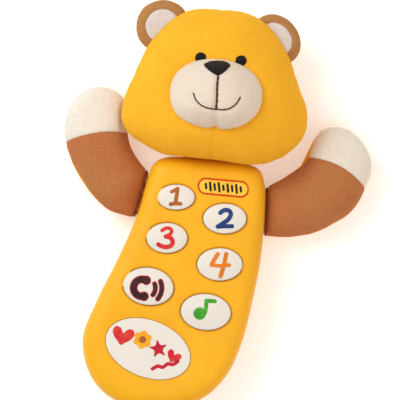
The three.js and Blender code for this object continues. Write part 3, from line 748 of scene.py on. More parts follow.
def relax(obj, rounds, strength=0.5, weights=None):
    """Evens out the surface; weights hold each vertex's share, from 0 to 1."""
    edges = edge_array(obj)
    points = coordinates(obj)
    count = np.bincount(edges.ravel(), minlength=len(points))[:, None]
    share = strength if weights is None else strength * weights[:, None]
    for _ in range(rounds):
        total = np.zeros_like(points)
        np.add.at(total, edges[:, 0], points[edges[:, 1]])
        np.add.at(total, edges[:, 1], points[edges[:, 0]])
        points = points + (total / np.maximum(count, 1) - points) * share
    set_coordinates(obj, points)


def refine(obj):
    """One step of subdivision."""
    subdivision = obj.modifiers.new("fine", "SUBSURF")
    subdivision.levels = subdivision.render_levels = 1
    apply_modifiers(obj)
    for polygon in obj.data.polygons:
        polygon.use_smooth = True


def distance_to_line(points, line):
    """Shortest distance from each point to a polyline, and how far along it, from 0 to 1."""
    best = np.full(len(points), 1e9)
    where = np.zeros(len(points))
    line = np.array(line, float)
    lengths = np.linalg.norm(np.diff(line, axis=0), axis=1)
    total, before = lengths.sum(), 0.0
    for a, b, run in zip(line, line[1:], lengths):
        t = np.clip(((points - a) @ (b - a)) / run ** 2, 0, 1)
        gap = np.linalg.norm(points - (a + t[:, None] * (b - a)), axis=1)
        nearer = gap < best
        best[nearer] = gap[nearer]
        where[nearer] = ((before + t * run) / total)[nearer]
        before += run
    return best, where


def press_in(obj, amount):
    """Moves each vertex inwards along its normal by amount mm."""
    normals = vertex_values(obj.data, "normal")
    set_coordinates(obj, coordinates(obj) - normals * (amount * MM)[:, None])


def soft_noise(obj, size, depth, seed=0.0):
    """Slow unevenness of stuffed cloth: size and depth in mm."""
    points = coordinates(obj)
    offset = Vector((seed, seed * 0.7, -seed))
    amount = np.array([noise.noise(Vector(p) / (size * MM) + offset) for p in points])
    press_in(obj, amount * depth)


def groove(gap, width, depth):
    """How deep a rounded groove is at a gap from its middle line."""
    return depth * np.exp(-(gap / width) ** 2)


def surface_tree(obj, turn=Matrix()):
    """The surface of a closed form, in mm, after the given turn."""
    points = [turn @ Vector(p) for p in coordinates(obj) / MM]
    return BVHTree.FromPolygons(points, [tuple(p.vertices) for p in obj.data.polygons])


def make_way(obj, tree, gap, turn=Matrix(), reach=6.0):
    """Moves what the turned obj would sink into another form back out, to gap mm from it."""
    back = turn.inverted()
    points = coordinates(obj) / MM
    moved = np.zeros(len(points))
    for i, start in enumerate(points):
        point = turn @ Vector(start)
        near, normal, _, away = tree.find_nearest(point, reach)
        if near is None:
            continue
        if (point - near).dot(normal) < 0:
            away = -away
        if away < gap:
            points[i] = back @ (near + normal * gap)
            moved[i] = gap - away
    set_coordinates(obj, points * MM)
    return moved


def smooth_open(points, count):
    """Evenly spaced points on an open Catmull-Rom curve through rows of numbers."""
    pts = np.array(points, float)
    ends = np.vstack([2 * pts[0] - pts[1], pts, 2 * pts[-1] - pts[-2]])
    dense = []
    for i in range(1, len(ends) - 2):
        p0, p1, p2, p3 = ends[i - 1:i + 3]
        for t in np.linspace(0, 1, 16, endpoint=False):
            dense.append(0.5 * (2 * p1 + (p2 - p0) * t + (2 * p0 - 5 * p1 + 4 * p2 - p3) * t * t
                                + (3 * p1 - p0 - 3 * p2 + p3) * t ** 3))
    dense.append(pts[-1])
    dense = np.array(dense)
    along = np.concatenate([[0], np.cumsum(np.linalg.norm(np.diff(dense[:, :2], axis=0), axis=1))])
    wanted = np.linspace(0, along[-1], count)
    return np.stack([np.interp(wanted, along, dense[:, k]) for k in range(dense.shape[1])], 1)


def tube_mesh(name, rings, material):
    """Closed form through rings with the same number of points, capped at both ends."""
    points, faces = [], []
    add_rings(points, faces, rings)
    return consistent(make_object(name, mesh_from(name, points, faces), material))


def at_height(loop, z):
    """A flat outline as a ring of points at height z."""
    return [(x, y, z) for x, y in loop]


def squared(value, exponent):
    """A cosine or sine raised to exponent with its sign kept: under 1, a ring turns squarer."""
    return math.copysign(abs(value) ** exponent, value)


STRAND_FLATNESS = 0.75    # a thread's height as a share of its width


def strand(points, radii, sides=7):
    """Rings of a thread along points, in mm."""
    rings = []
    for i, p in enumerate(points):
        a, b = Vector(points[max(i - 1, 0)]), Vector(points[min(i + 1, len(points) - 1)])
        along = (b - a).normalized()
        side = along.cross(Vector((0, 0, 1))).normalized()
        up = side.cross(along)
        ring = []
        for k in range(sides):
            t = 2 * math.pi * k / sides
            flat = up * radii[i] * STRAND_FLATNESS * math.sin(t)
            ring.append(tuple(Vector(p) + side * radii[i] * math.cos(t) + flat))
        rings.append(ring)
    return rings


def add_rings(points, faces, rings):
    """Adds a tube through rings, with both ends capped."""
    count = len(rings[0])
    first = len(points)
    for ring in rings:
        points.extend(ring)
    for r in range(len(rings) - 1):
        bridge(faces, first + r * count, first + (r + 1) * count, count)
    faces.append(tuple(first + i for i in range(count))[::-1])
    last = first + (len(rings) - 1) * count
    faces.append(tuple(last + i for i in range(count)))


def consistent(obj):
    """Turns all faces outwards and shades them smoothly."""
    bm = bmesh.new()
    bm.from_mesh(obj.data)
    bmesh.ops.recalc_face_normals(bm, faces=bm.faces)
    bm.to_mesh(obj.data)
    bm.free()
    for polygon in obj.data.polygons:
        polygon.use_smooth = True
    return obj

# ---------------------------------------------------------------- head

HEAD_CENTRE = Vector((17.6, 96.5, 30.0))
HEAD_LEAN = math.radians(-4.5)
HEAD_HALF_DEPTH = 28.0
# Half width at heights along the head's own axis, from chin to crown.
HEAD_PROFILE = [
    (-37.4, 2), (-36.6, 13), (-33.5, 25.5), (-28, 36), (-21.5, 43), (-13, 46.3), (-4, 45.3),
    (7, 41.6), (18, 37.8), (28, 32.6), (35.5, 25.5), (39.8, 16), (41.2, 7), (41.4, 2),
]
HEAD_SQUARE = 0.94        # under 1, the head's level sections are squarer than ovals
HEAD_FULLNESS = 0.78      # under 1, the depth fades more slowly than the width at chin and crown
NECK_PLANE_Y = 66.6       # the case top pushes the stuffing up to here
CHIN_Z = 31.9             # and forward to here, over the case front


def head_frame(points):
    """Points in mm on the head's own upright axes, about its centre."""
    shifted = np.asarray(points, float) - np.array(HEAD_CENTRE)
    cos, sin = math.cos(HEAD_LEAN), math.sin(HEAD_LEAN)
    return np.stack([shifted[:, 0] * cos + shifted[:, 1] * sin,
                     -shifted[:, 0] * sin + shifted[:, 1] * cos, shifted[:, 2]], 1)


def from_head(u, v, w):
    """The way back: a point on the head's own axes to the frame's mm."""
    cos, sin = math.cos(HEAD_LEAN), math.sin(HEAD_LEAN)
    return (HEAD_CENTRE.x + u * cos - v * sin, HEAD_CENTRE.y + u * sin + v * cos,
            HEAD_CENTRE.z + w)


def head_form(name, material, inset):
    """The head's cover before it is filled, inset mm inside its finished size."""
    widest = max(width for _, width in HEAD_PROFILE)
    rings = []
    for v, width in smooth_open(HEAD_PROFILE, 64):
        depth = HEAD_HALF_DEPTH * (max(width, 0) / widest) ** HEAD_FULLNESS
        ring = []
        for k in range(96):
            t = 2 * math.pi * k / 96
            u = squared(math.cos(t), HEAD_SQUARE) * max(width - inset, 0.5)
            w = squared(math.sin(t), HEAD_SQUARE) * max(depth - inset, 0.5)
            ring.append(from_head(u, v * (1 - inset / widest), w))
        rings.append(ring)
    return tube_mesh(name, rings, material)


def clear_of_case(obj, rounding=5.0):
    """Pushes what lies over the case top out of a rounded keep-out step."""
    points = coordinates(obj) / MM
    top, front = NECK_PLANE_Y, CHIN_Z
    corner_y, corner_z = top - rounding, front - rounding
    y, z = points[:, 1], points[:, 2]
    dy, dz = y - corner_y, z - corner_z
    both = (dy > 0) & (dz > 0)
    radius = np.hypot(dy, dz)
    inside_round = both & (radius < rounding)
    scale = rounding / np.maximum(radius, 1e-6)
    y_new, z_new = y.copy(), z.copy()
    y_new[inside_round] = (corner_y + dy * scale)[inside_round]
    z_new[inside_round] = (corner_z + dz * scale)[inside_round]
    inside_flat = ~both & (y < top) & (z < front)
    lift_up = inside_flat & ((top - y) < (front - z))
    lift_out = inside_flat & ~lift_up
    y_new[lift_up] = top
    z_new[lift_out] = front
    moved = np.hypot(y_new - y, z_new - z)
    set_coordinates(obj, np.stack([points[:, 0], y_new, z_new], 1) * MM)
    return moved


# The head's outline from the front, from its right cheek over the crown to the chin.
HEAD_OUTLINE = [
    (59, 100), (51, 120), (37.5, 134), (17.5, 137.5), (1.5, 136), (-15, 122), (-21, 110.5),
    (-25, 102.5), (-29, 92.5), (-29.5, 81), (-23.5, 72.5), (-9, 64.5), (0, 63.5), (8.5, 62.5),
    (20.5, 61), (38, 59), (50, 62), (60, 71), (64, 84),
]


def fit_outline(obj):
    """Scales the head about its centre, way by way, until its outline is HEAD_OUTLINE."""
    goal = smooth_closed(HEAD_OUTLINE, 360) - np.array(HEAD_CENTRE)[:2]
    goal_angle = np.degrees(np.arctan2(goal[:, 1], goal[:, 0])) % 360
    order = np.argsort(goal_angle)
    points = coordinates(obj) / MM
    flat = points[:, :2] - np.array(HEAD_CENTRE)[:2]
    radius = np.hypot(*flat.T)
    angle = np.degrees(np.arctan2(flat[:, 1], flat[:, 0])) % 360
    middles = np.arange(0, 360, 5)
    reach = [radius[np.abs((angle - m + 180) % 360 - 180) < 3.5].max() for m in middles]
    now = np.interp(angle, np.append(middles, 360), np.append(reach, reach[0]))
    wanted = np.interp(angle, goal_angle[order], np.hypot(*goal.T)[order], period=360)
    flat *= (wanted / now)[:, None]
    points[:, :2] = flat + np.array(HEAD_CENTRE)[:2]
    set_coordinates(obj, points * MM)


def rest_on_table(obj, lowest=-0.15, give=1.6):
    """Flattens what would sink below the table the toy lies on."""
    points = coordinates(obj) / MM
    z = points[:, 2] - lowest
    soft = np.where(z < give, give * np.exp(np.minimum(z, give) / give - 1), z)
    points[:, 2] = lowest + soft
    set_coordinates(obj, points * MM)


def head_seams(points):
    """Inward pull, in mm, along the seams of the head cover."""
    local = head_frame(points)
    u, v, w = local.T
    front = w > 4
    crown, along = distance_to_line(local[:, :2], [(-0.5, 44), (0.2, 31)])
    pull = groove(crown, 0.9, 0.9) * (1 - along) ** 0.5 * (w > -8)
    chin, along = distance_to_line(local[:, :2], [(0.4, -17), (0.2, -38)])
    pull += groove(chin, 1.3, 0.75) * front * (0.45 + 0.55 * along)
    sides = np.abs(w + 4 + 3 * np.cos(v / 14))
    pull += groove(sides, 0.75, 0.8) * (v > -34)
    return pull


NECK_PIVOT = Vector((16.5, 65.0, 15.0))
TILT_PIVOT = Vector((16.5, 69.0, 15.0))
HEAD_TURNS = [(0, 0), (0, 8), (0, -8), (-8, 0), (12, 0), (-8, 8), (12, 8), (12, -8)]
HEAD_PRESSURE = 1200.0


def head_turn(nod, tilt):
    """Where a nod and a tilt, in degrees, take the head."""
    def about(pivot, axis, degrees):
        return (Matrix.Translation(pivot) @ Matrix.Rotation(math.radians(degrees), 4, axis)
                @ Matrix.Translation(-pivot))
    return about(NECK_PIVOT, "X", nod) @ about(TILT_PIVOT, "Z", tilt)


def case_block():
    """The case as a plain solid, for what has to keep clear of it."""
    profile = fillet_profile(CASE_FILLET, 0.0, CASE_TOP_Z, 1)
    profile += fillet_profile(CASE_FILLET, 0.0, 0.0, -1)[::-1]
    return tube_mesh("case_block", [at_height(inset_ring(inset), z) for inset, z in profile], YELLOW)


def leave_head_room(gap):
    """Hollows the head where it would run into the case as it nods and tilts."""
    block = case_block()
    tree = surface_tree(block)
    bpy.data.objects.remove(block)
    moved = np.zeros(len(head.data.vertices))
    for nod, tilt in HEAD_TURNS:
        moved = np.maximum(moved, make_way(head, tree, gap, head_turn(nod, tilt)))
    return np.clip(moved * 2, 0, 1)


head = head_form("head_cover_skin", YELLOW_PLUSH, inset=1.6)
swell(head, 3.0, HEAD_PRESSURE, 3.0)
relax(head, 2, 0.4)
fit_outline(head)
relax(head, 2, 0.3)
dented = clear_of_case(head)
relax(head, 6, 0.5, np.clip(dented, 0, 1))
clear_of_case(head)
relax(head, 3, 0.5, leave_head_room(0.5))
refine(head)
soft_noise(head, 26, 0.55, 3.1)
soft_noise(head, 7, 0.12, 9.4)
press_in(head, head_seams(coordinates(head) / MM))
clear_of_case(head)
leave_head_room(0.2)
rest_on_table(head)
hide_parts("head_cover", "head_stuffing")
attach(head, "head")

# ---------------------------------------------------------------- arms

# Each arm from inside its slot to the tip: inner edge x, y, outer edge x, y, half thickness.
ARM_EDGES = {
    "left": [(-13.4, 53.9, -19.4, 32.6, 4.0), (-17.2, 55.6, -23.4, 33.4, 4.8),
             (-18.9, 57.7, -27.0, 34.4, 7.4), (-20.6, 59.8, -30.5, 35.3, 9.4),
             (-22.6, 63.2, -36.0, 37.3, 10.8), (-24.2, 66.2, -42.2, 42.3, 11.5),
             (-25.7, 69.8, -48.1, 49.2, 11.9), (-26.6, 73.2, -53.5, 57.5, 11.9),
             (-26.8, 76.5, -56.8, 65.7, 11.9), (-26.5, 80.0, -58.8, 74.3, 11.9),
             (-26.8, 84.5, -58.3, 82.4, 11.4), (-27.9, 89.5, -56.2, 89.2, 10.0),
             (-30.8, 94.0, -52.2, 94.2, 8.0), (-35.3, 97.5, -47.2, 97.8, 5.0),
             (-40.2, 99.3, -41.4, 99.4, 1.2)],
    "right": [(38.0, 46.4, 38.0, 24.9, 4.0), (42.0, 47.0, 42.0, 24.7, 4.8),
              (44.6, 48.4, 45.2, 24.3, 7.4), (47.5, 50.1, 49.0, 23.7, 9.4),
              (51.0, 52.1, 55.0, 23.5, 10.8), (54.7, 55.0, 62.8, 24.4, 11.5),
              (57.5, 57.4, 70.2, 26.1, 11.9), (59.8, 59.8, 77.9, 29.5, 11.9),
              (62.0, 62.6, 85.0, 34.4, 11.9), (63.8, 65.2, 90.0, 40.8, 11.9),
              (65.6, 67.8, 93.7, 48.1, 11.9), (67.4, 70.6, 96.4, 55.9, 11.2),
              (69.6, 73.6, 95.8, 63.2, 9.8), (72.2, 76.4, 92.2, 70.3, 7.6),
              (75.0, 78.3, 87.2, 76.0, 4.6), (78.7, 79.1, 80.9, 78.9, 1.2)],
}
ARM_GROW = 1.0            # given back by the relaxing of the stuffed form
# Paw seam: its middle, the way towards the tip, and how far it bows that way.
PAW_SEAMS = {
    "left": ((-42.6, 75.7), (-0.14, 0.99), 2.0),
    "right": ((80.1, 58.7), (0.482, 0.876), 3.0),
}
# Back panel seam: its height, and where and how far it rises round the edge to the front.
BACK_SEAMS = {"left": (11.0, (-52.0, 52.0), 3.6, 17.0), "right": (10.8, (63.6, 64.8), 6.8, 9.0)}
ROOT_CREASE_OUT = 0.8          # the crease round the root, and the dark thread laid in it as painted shadow, this far from the case
ARM_PRESSURE = 900.0
ARM_NOISE_SEEDS = {"left": 5.0, "right": 6.5}
CLOTH_THICKNESS = 0.9


def arm_form(side):
    """Closed form of a stuffed arm, from inside its slot to its tip."""
    edges = np.array(ARM_EDGES[side])
    middles, halves = (edges[:, :2] + edges[:, 2:4]) / 2, (edges[:, :2] - edges[:, 2:4]) / 2
    rings = []
    sections = smooth_open(np.column_stack([middles, halves, edges[:, 4]]), 50)
    for x, y, half_x, half_y, thick in sections:
        half = math.hypot(half_x, half_y)
        grown = (half + ARM_GROW) / half
        (slot_x, slot_y), (out_x, out_y) = ARM_SLOTS[side]
        out = (x - slot_x) * out_x + (y - slot_y) * out_y
        square = 0.5 + 0.42 * min(1, max(0, out / 7))
        ring = []
        for k in range(48):
            t = 2 * math.pi * k / 48
            across = squared(math.cos(t), square) * grown
            up = squared(math.sin(t), square) * max(thick, 0.6)
            ring.append((x + half_x * across, y + half_y * across, ARM_Z + up))
        rings.append(ring)
    return tube_mesh(f"arm_{side}_form", rings, BROWN_PLUSH)


def out_of_case(points, side):
    """Distance of each point from the case wall at the arm's slot, in mm."""
    (slot_x, slot_y), (out_x, out_y) = ARM_SLOTS[side]
    return (points[:, 0] - slot_x) * out_x + (points[:, 1] - slot_y) * out_y


def along_slot(points, side):
    """Distance of each point from the slot's middle along the case wall, in mm."""
    (slot_x, slot_y), (out_x, out_y) = ARM_SLOTS[side]
    return (points[:, 0] - slot_x) * -out_y + (points[:, 1] - slot_y) * out_x


def paw_side(points, side):
    """Positive on the paw's side of the paw seam, in mm."""
    (x, y), (tx, ty), bow = PAW_SEAMS[side]
    run = math.hypot(tx, ty)
    tx, ty = tx / run, ty / run
    forward = (points[:, 0] - x) * tx + (points[:, 1] - y) * ty
    across = (points[:, 0] - x) * ty - (points[:, 1] - y) * tx
    return forward + bow * (across / 15) ** 2


def front_side(points, side):
    """Positive on the front of the seam between the arm's front and its back panel."""
    height, (x, y), rise, reach = BACK_SEAMS[side]
    away = np.hypot(points[:, 0] - x, points[:, 1] - y)
    return points[:, 2] - height - rise * np.exp(-(away / reach) ** 2)


def cut_by(obj, field):
    """Splits edges so that a line of vertices follows field = 0, exactly."""
    bm = bmesh.new()
    bm.from_mesh(obj.data)
    bm.verts.ensure_lookup_table()
    points = np.array([v.co for v in bm.verts]) / MM
    values = field(points)
    values[np.abs(values) < 0.02] = 0.0
    on_line = {v for v in bm.verts if values[v.index] == 0}
    crossing = []
    for edge in bm.edges:
        a, b = (values[v.index] for v in edge.verts)
        if a * b < 0:
            crossing.append((edge, edge.verts[0], a / (a - b)))
    for edge, vert, share in crossing:
        on_line.add(bmesh.utils.edge_split(edge, vert, share)[1])
    for face in list(bm.faces):
        hits = [v for v in face.verts if v in on_line]
        if len(hits) == 2 and not any(set(hits) == set(e.verts) for e in face.edges):
            bmesh.utils.face_split(face, *hits)
    bm.to_mesh(obj.data)
    bm.free()


def panel(source, name, keep, material, thickness):
    """The faces of source whose middles keep selects, as a sewn panel with its thickness."""
    bm = bmesh.new()
    bm.from_mesh(source.data)
    centres = np.array([f.calc_center_median() for f in bm.faces]) / MM
    wanted = keep(centres)
    bmesh.ops.delete(bm, geom=[f for f, w in zip(bm.faces[:], wanted) if not w], context="FACES")
    obj = make_object(name, bm, material)
    solidify = obj.modifiers.new("cloth", "SOLIDIFY")
    solidify.thickness = thickness * MM
    solidify.offset = -1
    solidify.use_even_offset = False
    apply_modifiers(obj)
    obj.data.materials.clear()
    obj.data.materials.append(material)
    return obj


HEAD_PLACES = [surface_tree(head, head_turn(nod, tilt)) for nod, tilt in HEAD_TURNS]


def leave_arm_room(form, gap):
    """Hollows an arm where the head would run into it as it nods and tilts."""
    moved = np.zeros(len(form.data.vertices))
    for tree in HEAD_PLACES:
        moved = np.maximum(moved, make_way(form, tree, gap))
    return np.clip(moved * 2, 0, 1)


def root_shadow_thread(form, side):
    """Dark thread laid in the crease round the arm's root: painted shadow along the root."""
    (slot_x, slot_y), (out_x, out_y) = ARM_SLOTS[side]
    points = coordinates(form) / MM
    near = points[np.abs(out_of_case(points, side) - ROOT_CREASE_OUT) < 0.7]
    across = along_slot(near, side)
    up = near[:, 2] - ARM_Z
    middle = (across.max() + across.min()) / 2
    turn = np.arctan2(up, across - middle)
    order = np.argsort(turn)
    reach = np.hypot(up, across - middle)[order]
    path = []
    for k in range(121):
        t = -math.pi + 2 * math.pi * k / 120
        r = float(np.interp(t, turn[order], reach, period=2 * math.pi)) + 0.1
        v, z = middle + r * math.cos(t), ARM_Z + r * math.sin(t)
        path.append((slot_x + out_x * ROOT_CREASE_OUT - out_y * v,
                     slot_y + out_y * ROOT_CREASE_OUT + out_x * v, z))
    radii = [0.5 + 0.12 * math.sin(k * 1.9) for k in range(121)]
    return tube_mesh(f"arm_{side}_root_shadow_thread", strand(path, radii, 8), ROOT_SHADOW_THREAD)


def squeeze_into_slot(form, side):
    """Pinches the root, where it is inside the case wall, to the size of its slot."""
    out_x, out_y = ARM_SLOTS[side][1]
    points = coordinates(form) / MM
    inside = out_of_case(points, side) < 0.1
    across = along_slot(points, side)
    shift = np.where(inside, np.clip(across, -SLOT_HALF, SLOT_HALF) - across, 0.0)
    points[:, 0] += -out_y * shift
    points[:, 1] += out_x * shift
    low, high = ARM_Z - SLOT_HALF_HEIGHT, ARM_Z + SLOT_HALF_HEIGHT
    points[:, 2] = np.where(inside, np.clip(points[:, 2], low, high), points[:, 2])
    set_coordinates(form, points * MM)


def arm_surface(side):
    """The filled arm in one piece, with its seams, gathers and slot end."""
    form = arm_form(side)
    swell(form, 2.4, ARM_PRESSURE, 1.8, lambda p: float(out_of_case(p[None], side)[0] < 2.5))
    free = np.clip((out_of_case(coordinates(form) / MM, side) - 1) / 4, 0, 1)
    relax(form, 2, 0.4, free)
    relax(form, 3, 0.5, leave_arm_room(form, 0.5))
    refine(form)
    soft_noise(form, 18, 0.5, ARM_NOISE_SEEDS[side])
    soft_noise(form, 6, 0.12, 2.0)
    cut_by(form, lambda p: paw_side(p, side))
    cut_by(form, lambda p: front_side(p, side))
    points = coordinates(form) / MM
    front = front_side(points, side)
    seams = groove(front, 0.8, 0.55)
    seams += groove(paw_side(points, side), 0.8, 0.45) * (front > -0.3)
    out = out_of_case(points, side)
    t = np.arctan2(points[:, 2] - ARM_Z, points[:, 0] + points[:, 1])
    gathers = 0.35 * np.exp(-np.clip(out, 0, None) / 3.5) * (1 + np.sin(t * 9))
    crease = groove(out - ROOT_CREASE_OUT, 0.6, 0.8)
    press_in(form, seams + gathers + crease)
    leave_arm_room(form, 0.25)
    squeeze_into_slot(form, side)
    return form


def make_arm(side):
    """Dark thread laid as painted shadow in the root crease, sleeve, paw and back panel, all bending from
    the case to the arm.
    """
    form = arm_surface(side)
    pieces = {
        "sleeve": (BROWN_PLUSH, "brown_plush",
                   lambda p: (paw_side(p, side) <= 0) & (front_side(p, side) > 0)),
        "paw": (CREAM_PLUSH, "cream_plush",
                lambda p: (paw_side(p, side) > 0) & (front_side(p, side) > 0)),
        "back_panel": (YELLOW_PLUSH, "yellow_plush", lambda p: front_side(p, side) <= 0),
    }
    thread = root_shadow_thread(form, side)
    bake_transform(thread)
    for part, (material, slot, keep) in pieces.items():
        obj = panel(form, f"arm_{side}_{part}_skin", keep, material, CLOTH_THICKNESS)
        extra = {"sleeve": [f"arm_{side}_stuffing", f"arm_{side}_tab"]}.get(part, [])
        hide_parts(f"arm_{side}_{part}", *extra)
        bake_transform(obj)
    bpy.data.objects.remove(form)


for arm_side in ("left", "right"):
    make_arm(arm_side)

# ---------------------------------------------------------------- face


class Surface:
    """Height of an object's front above any (x, y), in mm."""

    def __init__(self, *objects):
        self.trees = []
        for obj in objects:
            faces = [tuple(p.vertices) for p in obj.data.polygons]
            self.trees.append(BVHTree.FromPolygons([tuple(v.co) for v in obj.data.vertices], faces))

    def height(self, x, y):
        best = None
        for tree in self.trees:
            hit = tree.ray_cast(Vector((x * MM, y * MM, 0.2)), Vector((0, 0, -1)))[0]
            if hit is not None and (best is None or hit.z / MM > best):
                best = hit.z / MM
        return CASE_TOP_Z if best is None else best


MUZZLE_CENTRE = (17.4, 94.6)
MUZZLE_HALF = (23.6, 17.6)
MUZZLE_HEIGHT = 12.0
MUZZLE_SIDES = 144
LIP_TOP, LIP_LOW = (18.4, 103.6), (17.5, 86.8)
CLEFT_LOW = (16.9, 77.5)
CHEEKS = ((7.5, 89.0), (26.3, 87.6))
BRIDGE_MIDDLE = (18, 105)     # the soft rise under the nose
SMILE = smooth_open(
    [(6.2, 94.9), (7.6, 91.4), (10.0, 88.9), (13.4, 87.4), (17.5, 86.8), (21.6, 86.6),
     (25.0, 87.6), (27.6, 89.7), (29.5, 92.8)], 60)


def muzzle_radius(angle):
    """Distance from the muzzle's middle to its seam, on the head's own axes."""
    c, s = math.cos(angle), math.sin(angle)
    half_w, half_h = MUZZLE_HALF
    radius = (abs(c / half_w) ** 2.2 + abs(s / half_h) ** 2.2) ** (-1 / 2.2)
    off = math.remainder(angle + math.pi / 2, 2 * math.pi)
    return radius * (1 - 0.03 * math.exp(-(off / 0.09) ** 2) + 0.025 * math.exp(-(off / 0.55) ** 2))


def muzzle_form():
    """Dome over the muzzle's outline, on the head's cover, with its edge tucked under."""
    skin = Surface(head)
    around, across = MUZZLE_SIDES, 44
    points, faces = [], []
    middle = head_frame([(*MUZZLE_CENTRE, 30)])[0]
    for j in range(across, 0, -1):
        s = j / across
        for i in range(around):
            angle = 2 * math.pi * i / around
            reach = muzzle_radius(angle) * s
            x, y, _ = from_head(middle[0] + reach * math.cos(angle),
                                middle[1] + reach * math.sin(angle), 0)
            points.append((x, y, skin.height(x, y) - 1.2 + MUZZLE_HEIGHT * (1 - s ** 2.5) ** 0.6))
    rings = [k * around for k in range(across)]
    for a, b in zip(rings, rings[1:]):
        bridge(faces, a, b, around)
    points.append((*MUZZLE_CENTRE, skin.height(*MUZZLE_CENTRE) - 1.2 + MUZZLE_HEIGHT))
    top = len(points) - 1
    faces += [(rings[-1] + i, rings[-1] + (i + 1) % around, top) for i in range(around)]
    under = add_ring(points, [(x, y) for x, y, _ in points[:around]], 0)
    for i in range(around):
        x, y, z = points[i]
        points[under + i] = (x * 0.9 + MUZZLE_CENTRE[0] * 0.1, y * 0.9 + MUZZLE_CENTRE[1] * 0.1, z - 2.5)
    bridge(faces, under, 0, around)
    faces.append(tuple(under + i for i in range(around))[::-1])
    return make_object("muzzle_skin", mesh_from("muzzle_skin", points, faces), MUZZLE_PLUSH)


def shape_muzzle(obj):
    """Cheeks and bridge swell out; lip, cleft and smile draw in."""
    points = coordinates(obj) / MM
    flat = points[:, :2]
    top = points[:, 2] > 50
    lobes = sum(np.exp(-((flat[:, 0] - x) ** 2 / 70 + (flat[:, 1] - y) ** 2 / 45))
                for x, y in CHEEKS)
    bridge_x, bridge_y = BRIDGE_MIDDLE
    nose_rise = np.exp(-((flat[:, 0] - bridge_x) ** 2 / 60 + (flat[:, 1] - bridge_y) ** 2 / 22))
    lip, along = distance_to_line(flat, [LIP_TOP, LIP_LOW])
    crease = groove(lip, 1.5, 1.5) * (0.5 + 0.5 * along)
    cleft, along = distance_to_line(flat, [LIP_LOW, CLEFT_LOW])
    crease = np.maximum(crease, groove(cleft, 1.4 + 0.5 * along, 1.3 + 0.2 * along))
    smile, _ = distance_to_line(flat, SMILE)
    press_in(obj, top * (crease + groove(smile, 0.9, 0.7) - 1.8 * lobes - 0.9 * nose_rise))


def sink_muzzle_seam():
    """Draws the head's cover in along the edge of the muzzle."""
    points = coordinates(head) / MM
    seam = coordinates(muzzle)[:MUZZLE_SIDES, :2] / MM
    near_front = points[:, 2] > 44
    gap = np.full(len(points), 99.0)
    gap[near_front], _ = distance_to_line(points[near_front][:, :2], np.vstack([seam, seam[:1]]))
    press_in(head, groove(gap, 2.2, 1.1))


muzzle = muzzle_form()
shape_muzzle(muzzle)
relax(muzzle, 3, 0.5)
soft_noise(muzzle, 14, 0.35, 1.7)
sink_muzzle_seam()
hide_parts("muzzle")
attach(muzzle, "head")
face_skin = Surface(head, muzzle)
brow_skin = Surface(head)


STITCH_OVERLAP = 0.08     # share of its length by which a stitch runs into its neighbour


def stitches(points, faces, path, surface, radius, pitch):
    """A row of back stitches: each dips into the cloth at its ends."""
    dense = smooth_open(path, 240)
    steps = np.linalg.norm(np.diff(dense, axis=0), axis=1)
    along = np.concatenate([[0], np.cumsum(steps)])
    count = max(1, round(along[-1] / pitch))
    for k in range(count):
        start, end = k - STITCH_OVERLAP, k + 1 + STITCH_OVERLAP
        reach = np.linspace(start, end, 9) * along[-1] / count
        row = []
        sway = rng.uniform(-0.12, 0.12)
        for i, d in enumerate(reach):
            x, y = (float(np.interp(d, along, dense[:, c])) for c in (0, 1))
            lift = math.sin(math.pi * i / 8) ** 0.6
            row.append((x + sway, y, surface.height(x, y) - 0.1 + 0.35 * lift))
        radii = [radius * (0.75 + 0.25 * math.sin(math.pi * i / 8)) for i in range(9)]
        add_rings(points, faces, strand(row, radii))


points, faces = [], []
stitches(points, faces, SMILE, face_skin, 0.38, 2.3)
stitches(points, faces, [LIP_TOP, (18.1, 98), (17.8, 92), LIP_LOW], face_skin, 0.58, 2.6)
mouth_mesh = mesh_from("mouth", points, faces)
mouth = consistent(make_object("mouth_stitch_thread", mouth_mesh, BROWN_THREAD))
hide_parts("mouth_stitch")
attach(mouth, "head")


def satin_patch(name, loop, surface, turn, crown, pitch=0.42):
    """Satin stitch: close parallel threads across an outline, over a low padding."""
    cos, sin = math.cos(turn), math.sin(turn)
    local = [(x * cos + y * sin, -x * sin + y * cos) for x, y in loop]
    low, high = min(p[0] for p in local), max(p[0] for p in local)
    middle = sum(p[1] for p in local) / len(local)
    points, faces = [], []
    count = round((high - low) / pitch)
    for k in range(count):
        u = low + (k + 0.5) * (high - low) / count
        hits = []
        for a, b in zip(local, local[1:] + local[:1]):
            if (a[0] - u) * (b[0] - u) <= 0 and a[0] != b[0]:
                hits.append(a[1] + (b[1] - a[1]) * (u - a[0]) / (b[0] - a[0]))
        if len(hits) < 2 or max(hits) - min(hits) < 0.3:
            continue
        start = min(hits) - rng.uniform(0, 0.22)
        end = max(hits) + rng.uniform(0, 0.22)
        share = 1 - abs(2 * (u - low) / (high - low) - 1) ** 3
        row = []
        for i in range(11):
            v = start + (end - start) * i / 10
            x, y = u * cos - v * sin, u * sin + v * cos
            arch = math.sin(math.pi * i / 10) ** 0.5
            row.append((x, y, surface.height(x, y) - 0.3 + crown * arch * (0.55 + 0.45 * share)))
        add_rings(points, faces, strand(row, [pitch * 0.62] * 11, 6))
    return consistent(make_object(name, mesh_from(name, points, faces), DARK_THREAD))


NOSE = [tuple(p) for p in smooth_closed(
    [(11.6, 108.9), (13.4, 106.6), (15.9, 104.6), (18.4, 103.6), (20.6, 104.5), (22.8, 106.6),
     (24.4, 108.9), (22.2, 110.4), (18, 110.9), (13.9, 110.4)], 60)]
nose = satin_patch("nose_satin", NOSE, face_skin, 0.06, 1.5)
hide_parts("nose_patch")
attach(nose, "head")

